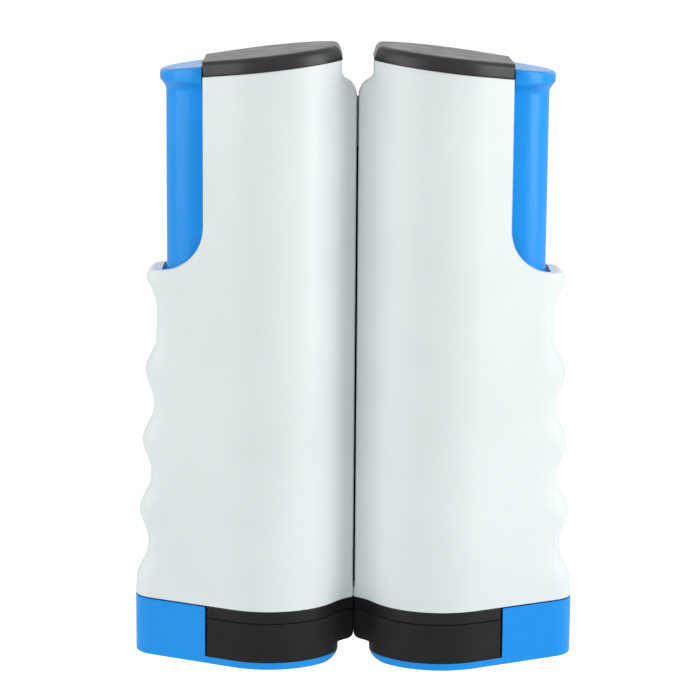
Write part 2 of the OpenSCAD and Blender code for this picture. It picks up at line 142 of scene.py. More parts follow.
def ease(t: float) -> float:
    """Smooth rise from 0 to 1, level at both ends."""
    t = min(1.0, max(0.0, t))
    return t * t * (3 - 2 * t)


def arc(centre: Pair, radius: float, start: float, end: float, count: int) -> Line:
    """Points of a round from one angle to another, without the last."""
    cx, cy = centre
    return [(cx + radius * math.cos(a), cy + radius * math.sin(a)) for a in spread(start, end, count)]


def around(half_line: Sequence[Pair]) -> Line:
    """Closes a half outline, which starts and ends on the centre line, into a whole one."""
    return [(x, -y) for x, y in half_line] + list(half_line[-2:0:-1])


def at_height(line: Sequence[Pair], z: float) -> Ring:
    """Lays an outline at one height."""
    return [(x, y, z) for x, y in line]


# ---- Sizes that several pieces share ----


@dataclass(frozen=True)
class PlanSteps:
    """How finely the stretches of an outline in plan are divided."""

    tip: int = 2
    corner: int = 6
    hollow: int = 6
    barrel: int = 30
    flank: int = 14
    nose: int = 14


@dataclass(frozen=True)
class PostForm:
    """Outlines and levels of one post, in millimetres, for the right-hand post."""

    barrel_x: float = 26.0
    barrel_r: float = 23.2
    nose_x: float = 57.8
    nose_r: float = 9.0
    wall: float = 2.4
    web_in: float = 43.3
    web_out: float = 45.3
    flat_x: float = 4.8
    chamber_x: float = 7.2
    channel_x: float = 58.0
    lip_x: float = 0.3
    lip_half: float = 5.7
    hollow_r: float = 18.0
    lip_drop: float = 6.0
    lip_top_r: float = 5.0
    slot_half: float = 0.8
    slot_z0: float = 21.0
    slot_z1: float = 174.3
    cap_z: float = 179.0
    cap_fall: float = 0.118
    cap_t: float = 4.5
    shell_z: float = 18.0
    seam_z: float = 14.1
    pad_top: float = 14.0
    plate_t: float = 2.1
    foot: float = 4.9
    finger: float = 21.6
    fingers: int = 3
    index: float = 28.2
    scoop: float = 3.1
    ramp: float = 9.6
    lean: float = 0.048
    shoulder_r: float = 2.9
    shoulder_out: float = 0.8
    recess_r: float = 14.0
    panel_x: float = 45.7
    jaw_end: float = 44.3
    toe_x: float = 0.02
    screw_ring: float = 18.7
    screw_angles: tuple[float, ...] = (40.0, 140.0, 220.0, 320.0)
    screw_hole: float = 1.15
    head_hole: float = 1.9

    @property
    def nose_tip(self) -> float:
        """Outermost point of the post."""
        return self.nose_x + self.nose_r

    @property
    def sine(self) -> float:
        """Sine of the angle at which the flanks close in on the nose."""
        return (self.barrel_r - self.nose_r) / (self.nose_x - self.barrel_x)

    @property
    def cosine(self) -> float:
        """Cosine of the same angle."""
        return math.sqrt(1 - self.sine**2)

    @property
    def turn(self) -> float:
        """Angle, from X, of the points where barrel and nose meet the flanks."""
        return math.acos(self.sine)

    @cached_property
    def hollow(self) -> Pair:
        """Centre of the hollow that runs from the lip's tip into the barrel.

        Returns:
            The centre, where the hollow passes through the lip's tip and touches the barrel.
        """
        tip = Vector((self.lip_x - self.barrel_x, self.lip_half))
        reach = self.barrel_r + self.hollow_r
        along = (reach**2 - self.hollow_r**2 + tip.length_squared) / (2 * tip.length)
        across = math.sqrt(reach**2 - along**2)
        centre = (tip * along + Vector((tip.y, -tip.x)) * across) / tip.length
        return (self.barrel_x + centre.x, centre.y)

    @cached_property
    def crests(self) -> tuple[float, ...]:
        """Heights of the crests between the scoops of the grip."""
        low = [self.shell_z + self.foot + k * self.finger for k in range(self.fingers + 1)]
        return (*low, low[-1] + self.index)

    @property
    def crest_z(self) -> float:
        """Crest above the index finger's scoop, where the shoulder's bead sits."""
        return self.crests[-1]

    @property
    def bead_x(self) -> float:
        """Centre of the bead along the shoulder's edge."""
        return self.grip_x(self.crest_z) - self.shoulder_r + self.shoulder_out

    @property
    def shoulder_z(self) -> float:
        """Top of the grip."""
        return self.crest_z + self.shoulder_r

    @property
    def screws(self) -> Line:
        """Places in plan of the screws that hold the upper jaw."""
        ring, turns = self.screw_ring, [math.radians(angle) for angle in self.screw_angles]
        return [(self.barrel_x + ring * math.cos(a), ring * math.sin(a)) for a in turns]

    def flank_y(self, x: float, inset: float = 0.0) -> float:
        """Half depth of the flank at x, for an outline drawn in by inset."""
        return (self.barrel_r - inset - (x - self.barrel_x) * self.sine) / self.cosine

    def cap_under(self, x: float) -> float:
        """Height of the cap's underside at x."""
        return self.cap_z - self.cap_fall * (x - self.barrel_x)

    def grip_x(self, z: float) -> float:
        """Surface of the finger grip without the bead.

        Args:
            z: Height on the grip.

        Returns:
            Its X at that height.
        """
        line = self.nose_tip - self.lean * (z - self.shell_z)
        if z <= self.crests[0]:
            return line
        return line - self.scoop * ease(min(abs(z - crest) for crest in self.crests) / self.ramp)

    def grip_edge(self, z: float) -> float:
        """Surface of the finger grip at height z, with the bead."""
        rise = self.shoulder_r**2 - (z - self.crest_z) ** 2
        return max(self.grip_x(z), self.bead_x + math.sqrt(rise)) if rise > 0 else self.grip_x(z)

    def lip_start(self, z: float) -> float:
        """Distance of the lips' face from the centre plane.

        Args:
            z: Height on the lips.

        Returns:
            The distance, which grows towards the round top of the lips.
        """
        if z < self.slot_z0:
            return self.toe_x
        rise = z - (self.cap_under(self.flat_x) - self.lip_drop - self.lip_top_r)
        if rise <= 0:
            return self.lip_x
        if rise >= self.lip_top_r:
            return self.flat_x
        over = self.lip_top_r - math.sqrt(self.lip_top_r**2 - rise**2)
        return min(self.flat_x, self.lip_x + over)

    def front_line(
        self, start: float, end: float, first_y: float, steps: PlanSteps, corner: float
    ) -> Line:
        """Half outline in plan, from the middle of the lips' face to the flank.

        Args:
            start: X of the lips' face.
            end: X on the flank where the line stops.
            first_y: Half depth of the first point.
            steps: How many steps each stretch has.
            corner: Radius of the lips' front corner.

        Returns:
            Points (x, half depth).
        """
        cx, cy = self.hollow
        mid_x = start + corner
        mid_y = cy - math.sqrt((self.hollow_r + corner) ** 2 - (mid_x - cx) ** 2)
        at_lip = math.atan2(mid_y - cy, mid_x - cx)
        at_barrel = math.atan2(-cy, self.barrel_x - cx)
        points = [(start, y) for y in spread(first_y, mid_y, steps.tip)]
        points += arc((mid_x, mid_y), corner, math.pi, math.pi + at_lip, steps.corner)
        points += arc(self.hollow, self.hollow_r, at_lip, at_barrel, steps.hollow)
        points += arc((self.barrel_x, 0.0), self.barrel_r, at_barrel + math.pi, self.turn, steps.barrel)
        flank_x = self.barrel_x + self.barrel_r * self.sine
        return points + [(x, self.flank_y(x)) for x in (*spread(flank_x, end, steps.flank), end)]

    def teardrop(
        self, start: float, end: float, inset: float, steps: PlanSteps, corner: float = 0.0
    ) -> Line:
        """Half outline of the barrel and flank without lips, from y = 0 back to y = 0.

        Args:
            start: X of the flat inner side.
            end: X of the flat outer side, or the nose's tip for the whole round nose.
            inset: How far the outline is drawn in.
            steps: How many steps each stretch has.
            corner: Radius between the flat inner side and the barrel.

        Returns:
            Points (x, half depth), the first and the last on the centre line.
        """
        barrel_r, nose_r = self.barrel_r - inset, self.nose_r - inset
        reach = self.barrel_x - start - corner
        rise = math.sqrt((barrel_r - corner) ** 2 - reach**2)
        turned = math.atan2(rise, -reach)
        points = [(start, y) for y in spread(0.0, rise, steps.tip)]
        points += arc((start + corner, rise), corner, math.pi, turned, steps.corner)
        points += arc((self.barrel_x, 0.0), barrel_r, turned, self.turn, steps.barrel)
        stop = min(end, self.nose_x + nose_r * self.sine)
        flank_x = self.barrel_x + barrel_r * self.sine
        points += [(x, self.flank_y(x, inset)) for x in spread(flank_x, stop, steps.flank)]
        if end < self.nose_x:
            points += [(stop, y) for y in spread(self.flank_y(stop, inset), 0.0, steps.nose)]
            return points + [(stop, 0.0)]
        points += arc((self.nose_x, 0.0), nose_r, self.turn, 0.0, steps.nose)
        return points + [(self.nose_x + nose_r, 0.0)]


FORM = PostForm()


# ---- Mesh work ----


def grid_indices(bm: BMesh, columns: int, rows: int) -> dict[BMVert, tuple[int, int]]:
    """Adds a grid and says which column and row each of its vertices stands in.

    Args:
        bm: The mesh that gets the grid.
        columns: Number of faces along X.
        rows: Number of faces along Y.

    Returns:
        Column and row of each new vertex.
    """
    made = bmesh.ops.create_grid(bm, x_segments=columns, y_segments=rows, size=1.0)
    return {
        v: (round((v.co.x + 1) / 2 * columns), round((v.co.y + 1) / 2 * rows))
        for v in made["verts"]
    }


def loft(bm: BMesh, columns: int, rows: int, point: Callable[[int, int], Point]) -> None:
    """Adds a skin of columns by rows faces, laid through the given points.

    Args:
        bm: The mesh that gets the skin.
        columns: Number of faces along a row.
        rows: Number of rows of faces.
        point: Gives the place of the vertex in a column and row.
    """
    for v, (i, j) in grid_indices(bm, columns, rows).items():
        v.co = Vector(point(i, j))


def closed_loft(bm: BMesh, rings: Sequence[Ring]) -> None:
    """Adds a closed body through rings of equal length, with flat ends.

    Args:
        bm: The mesh that gets the body.
        rings: Closed rings of points, from one end to the other.
    """
    count = len(rings[0])
    part = bmesh.new()
    loft(part, count, len(rings) - 1, lambda i, j: rings[j][i % count])
    bmesh.ops.remove_doubles(part, verts=part.verts, dist=WELD)
    bmesh.ops.holes_fill(part, edges=[e for e in part.edges if e.is_boundary], sides=0)
    bmesh.ops.recalc_face_normals(part, faces=part.faces)
    add_mesh(bm, part)


def add_mesh(bm: BMesh, part: BMesh) -> None:
    """Joins a finished part into a mesh and frees it.

    Args:
        bm: The mesh that takes the part.
        part: The part, which is freed.
    """
    holder = bpy.data.meshes.new("part")
    part.to_mesh(holder)
    part.free()
    bm.from_mesh(holder)
    bpy.data.meshes.remove(holder)


def round_edges(
    bm: BMesh,
    size: float,
    segments: int,
    least: float,
    chosen: Callable[[BMEdge], bool] = lambda edge: True,
) -> None:
    """Bevels the outward edges that turn sharply.

    Args:
        bm: The mesh.
        size: Width of the bevel.
        segments: Its number of faces.
        least: Least angle between an edge's faces, in degrees.
        chosen: Says which of those edges are meant.
    """
    edges = [
        e
        for e in bm.edges
        if len(e.link_faces) == 2
        and e.is_convex
        and e.calc_face_angle(0.0) > math.radians(least)
        and chosen(e)
    ]
    bmesh.ops.bevel(
        bm, geom=edges, offset=size, offset_type="OFFSET", segments=segments, profile=0.5,
        affect="EDGES", material=-1, clamp_overlap=True,
    )


def block(bm: BMesh, low: Point, high: Point) -> None:
    """Adds a box.

    Args:
        bm: The mesh that gets the box.
        low: Its lowest corner.
        high: Its highest corner.
    """
    size = Vector(high) - Vector(low)
    middle = Matrix.Translation((Vector(high) + Vector(low)) / 2)
    bmesh.ops.create_cube(bm, size=1.0, matrix=middle @ Matrix.Diagonal((*size, 1)))


def drill(bm: BMesh, low: Point, high: Point, radius: float) -> None:
    """Adds a closed cylinder between two points.

    Args:
        bm: The mesh that gets the cylinder.
        low: Middle of one end.
        high: Middle of the other end.
        radius: Its radius.
    """
    run = Vector(high) - Vector(low)
    turned = run.to_track_quat("Z", "Y").to_matrix().to_4x4()
    bmesh.ops.create_cone(
        bm, cap_ends=True, cap_tris=False, segments=DRILL_SIDES, radius1=radius, radius2=radius,
        depth=run.length, matrix=Matrix.Translation((Vector(high) + Vector(low)) / 2) @ turned,
    )


def sort_mesh(bm: BMesh) -> None:
    """Puts points and faces in the order of their places, which a bevel leaves to chance.

    Args:
        bm: The mesh.
    """
    for parts, place in ((bm.verts, lambda v: v.co), (bm.faces, lambda face: face.calc_center_median())):
        ranked = sorted(parts, key=lambda part: tuple(round(c, 4) for c in place(part)))
        ranks = {part: rank for rank, part in enumerate(ranked)}
        parts.sort(key=ranks.get)
        parts.index_update()


def cut(bm: BMesh, tools: BMesh) -> BMesh:
    """Cuts closed tools out of a closed mesh.

    Args:
        bm: The mesh, which is freed.
        tools: The tools, which are freed.

    Returns:
        What is left of the mesh.
    """
    pair = []
    for name, source in (("uncut", bm), ("tools", tools)):
        bmesh.ops.recalc_face_normals(source, faces=source.faces)
        sort_mesh(source)
        mesh = bpy.data.meshes.new(name)
        source.to_mesh(mesh)
        source.free()
        pair.append(bpy.data.objects.new(name, mesh))
        bpy.context.scene.collection.objects.link(pair[-1])
    step = pair[0].modifiers.new("cut", "BOOLEAN")
    step.object = pair[1]
    step.operation = "DIFFERENCE"
    step.solver = "EXACT"
    solved = pair[0].evaluated_get(bpy.context.evaluated_depsgraph_get())
    left = bmesh.new()
    left.from_mesh(solved.to_mesh())
    solved.to_mesh_clear()
    for holder in pair:
        mesh = holder.data
        bpy.data.objects.remove(holder)
        bpy.data.meshes.remove(mesh)
    return left


def make_piece(name: str, bm: BMesh, side: Side, recalc: bool = True) -> bpy.types.Object:
    """Turns a mesh in millimetres into an object in metres, on its own side.

    Args:
        name: Name of the piece.
        bm: The mesh, drawn for the right-hand post, which is freed.
        side: The post that the piece belongs to.
        recalc: Whether the normals are worked out anew.

    Returns:
        The new object.
    """
    bmesh.ops.scale(bm, vec=(MM * side.value, MM, MM), verts=bm.verts)
    if recalc:
        bmesh.ops.recalc_face_normals(bm, faces=bm.faces)
    mesh = bpy.data.meshes.new(name)
    bm.to_mesh(mesh)
    bm.free()
    mesh.shade_smooth()
    mesh.set_sharp_from_angle(angle=math.radians(SMOOTH_BELOW))
    piece = bpy.data.objects.new(name, mesh)
    bpy.context.scene.collection.objects.link(piece)
    weigh = piece.modifiers.new("flat faces", "WEIGHTED_NORMAL")
    weigh.keep_sharp = True
    LOG.info("%s: %d faces", name, len(mesh.polygons))
    return piece


def settle(piece: bpy.types.Object, body: str, node: str, finish: bpy.types.Material) -> None:
    """Lets a piece ride on its body, in place of its node, with its finish.

    Args:
        piece: The piece.
        body: The body that carries it.
        node: The node that it stands for.
        finish: Its material.
    """
    piece.data.materials.append(finish)
    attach(piece, body)
    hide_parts(node)


@dataclass
class PostPart:
    """A sub-assembly of one post, drawn for the right-hand post."""

    side: Side
    form: PostForm = FORM

    def put(
        self, name: str, bm: BMesh, body: str, node: str, slot: str, finish: bpy.types.Material
    ) -> bpy.types.Object:
        """Makes a piece of this post, whose side stands in front of every name.

        Args:
            name: Name of the piece.
            bm: Its mesh, which is freed.
            body: The body that carries it.
            node: The node that it stands for.
            slot: Not used.
            finish: Its material.

        Returns:
            The new object.
        """
        word = self.side.word
        piece = make_piece(f"{word}_{name}", bm, self.side)
        settle(piece, f"{word}_{body}", f"{word}_{node}", finish)
        return piece


# ---- Finishes ----

# Ranges of a noise's strength in which one look turns into the other.
MIDDLE = (0.35, 0.65)
WIDE = (0.3, 0.7)
SPECKS = (0.7, 0.76)
STAINS = (0.45, 0.75)
# Range of the normal's Z in which a face starts to be a top, which takes the colour of dust and painted
# sheen.
UPRIGHT = (0.85, 0.98)
# Detail of a noise.
PLAIN, FINE, FINEST = 2, 3, 4


def linear(colour: Colour) -> tuple[float, float, float, float]:
    """Scene colour of a colour given as 0 to 255 on screen.

    Args:
        colour: Red, green and blue.

    Returns:
        Linear red, green and blue, with a full alpha.
    """
    parts = [c / 255 for c in colour]
    red, green, blue = (s / 12.92 if s <= 0.04045 else ((s + 0.055) / 1.055) ** 2.4 for s in parts)
    return (red, green, blue, 1.0)


class Wiring:
    """Nodes of a material or of the world, wired by short calls."""

    def __init__(self, owner: bpy.types.Material | bpy.types.World) -> None:
        """Takes up the owner's node tree."""
        owner.use_nodes = True
        self.tree = owner.node_tree

    def first(self, kind: str) -> bpy.types.Node:
        """The node of a type that the tree starts with."""
        return next(n for n in self.tree.nodes if n.type == kind)

    def node(
        self, kind: str, inputs: dict[str | int, object] | None = None, **settings: object
    ) -> bpy.types.Node:
        """Adds a node.

        Args:
            kind: The node's type.
            inputs: What its sockets get, a value or another node's output.
            settings: Its own settings.

        Returns:
            The node.
        """
        made = self.tree.nodes.new(kind)
        for key, value in settings.items():
            setattr(made, key, value)
        for key, value in (inputs or {}).items():
            self.feed(made.inputs[key], value)
        return made

    def feed(self, socket: Socket, value: object) -> None:
        """Links an output to a socket, or sets the socket's value.

        Args:
            socket: The socket that is fed.
            value: The output or the value.
        """
        if isinstance(value, Socket):
            self.tree.links.new(value, socket)
        else:
            socket.default_value = value


class MaterialWiring(Wiring):
    """A new material with a Principled shader and the patterns that the finishes share."""

    def __init__(self, name: str) -> None:
        """Starts the material."""
        self.material = bpy.data.materials.new(name)
        super().__init__(self.material)
        self.shader = self.first("BSDF_PRINCIPLED")

    def place(self, scale: Point = (1, 1, 1)) -> Socket:
        """Object coordinates, scaled."""
        where = self.node("ShaderNodeTexCoord").outputs["Object"]
        return self.node("ShaderNodeMapping", {"Vector": where, "Scale": scale}).outputs["Vector"]

    def upward(self, output: str) -> Socket:
        """The Z of one of the Texture Coordinate node's outputs."""
        vector = self.node("ShaderNodeTexCoord").outputs[output]
        return self.node("ShaderNodeSeparateXYZ", {"Vector": vector}).outputs["Z"]

    def noise(self, where: Socket, scale: float, detail: float) -> Socket:
        """Strength of a noise pattern."""
        made = self.node("ShaderNodeTexNoise", {"Vector": where, "Scale": scale, "Detail": detail})
        return made.outputs["Fac"]

    def ramp(self, value: Socket, span: Pair, to: Pair = (0.0, 1.0)) -> Socket:
        """Maps a span of a value to another span, clamped."""
        ends = zip(("From Min", "From Max", "To Min", "To Max"), (*span, *to))
        return self.node("ShaderNodeMapRange", {"Value": value, **dict(ends)}).outputs["Result"]

    def mix(self, share: Socket, a: object, b: object) -> Socket:
        """Mixes two colours, whose sockets on the node are known by number only."""
        return self.node("ShaderNodeMix", {0: share, 6: a, 7: b}, data_type="RGBA").outputs[2]

    def bump(self, height: Socket, strength: float, depth: float) -> None:
        """Gives the shader a bump from a height."""
        made = self.node("ShaderNodeBump", {"Height": height, "Strength": strength, "Distance": depth})
        self.feed(self.shader.inputs["Normal"], made.outputs["Normal"])

    def set(self, **values: object) -> None:
        """Sets sockets of the shader, whose names have _ for a space."""
        for key, value in values.items():
            self.feed(self.shader.inputs[key.replace("_", " ")], value)


@dataclass(frozen=True)
class MouldedPlastic:
    """A moulded plastic: body colour, faint mottling, specks of handling, a fine mould grain, and, where
    given, dust with a painted sheen on faces that look up.
    """

    name: str
    colour: Colour
    shade: Colour
    speck: Colour
    rough: float = 0.35
    specks: float = 0.25
    grain: float = 0.05
    patches: float = 0.055
    ior: float = 1.46
    # Colour of faces that look up: dust, with a painted sheen that shows tops lighter than the body.
    dust: Colour | None = None
    cloud_scale: float = 28.0
    speck_scale: float = 900.0
    rub_scale: float = 160.0
    rub_stretch: Point = (1, 1, 0.25)
    grain_scale: float = 2600.0
    grain_depth: float = 0.0002

    def build(self) -> bpy.types.Material:
        """Makes the material.

        Returns:
            The material.
        """
        w = MaterialWiring(self.name)
        where = w.place()
        cloud = w.ramp(w.noise(where, self.cloud_scale, PLAIN), MIDDLE)
        body = w.mix(cloud, linear(self.colour), linear(self.shade))
        # Faces that look up are painted with dust and a sheen: tops come out lighter, as light from above
        # would make them.
        if self.dust:
            body = w.mix(w.ramp(w.upward("Normal"), UPRIGHT), body, linear(self.dust))
        dots = w.ramp(w.noise(where, self.speck_scale, PLAIN), SPECKS, (0.0, self.specks))
        rub = w.noise(w.place(self.rub_stretch), self.rub_scale, FINEST)
        w.set(
            Base_Color=w.mix(dots, body, linear(self.speck)),
            Roughness=w.ramp(rub, WIDE, (self.rough - self.patches, self.rough + self.patches)),
            IOR=self.ior,
        )
        w.bump(w.noise(where, self.grain_scale, PLAIN), self.grain, self.grain_depth)
        return w.material


@dataclass(frozen=True)
class Rubber:
    """A matt moulded rubber with a fine grain and dusty patches."""

    name: str
    colour: Colour
    # Colour of the dusty patches, which lie at random.
    dust: Colour
    rough: Pair = (0.54, 0.68)
    ior: float = 1.3
    dusty: float = 0.35
    dust_scale: float = 70.0
    rub_scale: float = 300.0
    grain_scale: float = 1500.0
    grain: float = 0.12
    grain_depth: float = 0.0003

    def build(self) -> bpy.types.Material:
        """Makes the material.

        Returns:
            The material.
        """
        w = MaterialWiring(self.name)
        where = w.place()
        cloud = w.ramp(w.noise(where, self.dust_scale, FINEST), STAINS, (0.0, self.dusty))
        body = w.mix(cloud, linear(self.colour), linear(self.dust))
        rub = w.ramp(w.noise(where, self.rub_scale, FINE), WIDE, self.rough)
        w.set(Base_Color=body, Roughness=rub, IOR=self.ior)
        w.bump(w.noise(where, self.grain_scale, FINE), self.grain, self.grain_depth)
        return w.material


@dataclass(frozen=True)
class Steel:
    """Plated steel, drawn or turned, with fine lines and small stains."""

    name: str
    colour: Colour = (196, 198, 202)
    stain: Colour = (150, 148, 142)
    rough: float = 0.28
    smoother: float = 0.06
    rougher: float = 0.08
    stained: float = 0.5
    stain_scale: float = 240.0
    line_scale: float = 2200.0
    line_stretch: Point = (1, 1, 0.08)
    line_bump: float = 0.05
    line_depth: float = 0.0001

    def build(self) -> bpy.types.Material:
        """Makes the material.

        Returns:
            The material.
        """
        w = MaterialWiring(self.name)
        stains = w.ramp(w.noise(w.place(), self.stain_scale, FINEST), STAINS, (0.0, self.stained))
        lines = w.noise(w.place(self.line_stretch), self.line_scale, PLAIN)
        w.set(
            Base_Color=w.mix(stains, linear(self.colour), linear(self.stain)),
            Metallic=1.0,
            Roughness=w.ramp(lines, WIDE, (self.rough - self.smoother, self.rough + self.rougher)),
        )
        w.bump(lines, self.line_bump, self.line_depth)
        return w.material


@dataclass(frozen=True)
class Netting:
    """Knotted netting seen as a wound or stretched cloth, with a white tape at its top edge."""

    name: str
    colour: Colour = (30, 34, 36)
    light: Colour = (58, 64, 66)
    tape: Colour = (232, 233, 231)
    tape_from: float = 0.1589
    tape_blur: float = 0.0002
    rough: float = 0.85
    sheen: float = 0.3
    fibre_scale: float = 1400.0
    grain_scale: float = 3000.0
    grain: float = 0.3
    grain_depth: float = 0.0002

    def build(self) -> bpy.types.Material:
        """Makes the material.

        Returns:
            The material.
        """
        w = MaterialWiring(self.name)
        where = w.place()
        fibres = w.ramp(w.noise(where, self.fibre_scale, FINE), MIDDLE)
        cord = w.mix(fibres, linear(self.colour), linear(self.light))
        above = w.ramp(w.upward("Object"), (self.tape_from - self.tape_blur, self.tape_from))
        body = w.mix(above, cord, linear(self.tape))
        w.set(Base_Color=body, Roughness=self.rough, Sheen_Weight=self.sheen)
        w.bump(w.noise(where, self.grain_scale, PLAIN), self.grain, self.grain_depth)
        return w.material


@dataclass(frozen=True)
class WovenTape:
    """Woven tape with fine ribs, drawn by a wave pattern."""

    name: str
    colour: Colour = (235, 236, 234)
    shade: Colour = (205, 207, 206)
    thread: float = 0.0004
    threads_to_unit: float = 6.283
    rough: float = 0.8
    sheen: float = 0.2
    rib: float = 0.3
    rib_depth: float = 0.0001

    def build(self) -> bpy.types.Material:
        """Makes the material.

        Returns:
            The material.
        """
        w = MaterialWiring(self.name)
        units = 1 / self.thread / self.threads_to_unit
        pattern = {"Vector": w.place((units, 1, units)), "Scale": 1.0}
        ribs = w.node("ShaderNodeTexWave", pattern, bands_direction="Z").outputs["Fac"]
        body = w.mix(ribs, linear(self.colour), linear(self.shade))
        w.set(Base_Color=body, Roughness=self.rough, Sheen_Weight=self.sheen)
        w.bump(ribs, self.rib, self.rib_depth)
        return w.material


class Finishes:
    """All finishes of the set, each made once."""

    def __init__(self) -> None:
        """Builds the materials."""
        self.housing = MouldedPlastic(
            "housing plastic", (236, 243, 243), (231, 239, 239), (200, 204, 206), rough=0.34, specks=0.18
        ).build()
        self.slider = MouldedPlastic(
            "slider plastic", (22, 157, 247), (18, 151, 242), (14, 130, 218),
            rough=0.26, specks=0.05, grain=0.006, patches=0.02, ior=1.36,
        ).build()
        # The cap's tops are painted with dust and a sheen, warmer and lighter than its body.
        self.cap = MouldedPlastic(
            "cap plastic", (29, 31, 32), (33, 34, 35), (60, 60, 58),
            rough=0.36, specks=0.3, ior=1.4, dust=(44, 42, 40),
        ).build()
        self.jaw = MouldedPlastic(
            "jaw plastic", (26, 26, 27), (30, 30, 30), (48, 48, 48), rough=0.42, specks=0.2, ior=1.32
        ).build()
        self.pad = Rubber("pad rubber", (26, 26, 26), (40, 39, 38)).build()
        self.steel = Steel("plated steel").build()
        self.spring = Steel("spring steel", (178, 180, 184), (120, 118, 112), 0.3).build()
        self.tube = MouldedPlastic(
            "tube plastic", (226, 227, 224), (218, 219, 216), (180, 180, 178), rough=0.5
        ).build()
        self.netting = Netting("netting").build()
        self.tape = WovenTape("woven tape").build()


# ---- Housing ----


@dataclass(frozen=True)
class Row:
    """One level of the housing's skin: X of its outer edge, height, share of its zone, and the zone."""

    limit: float
    height: float
    share: float
    zone: Zone


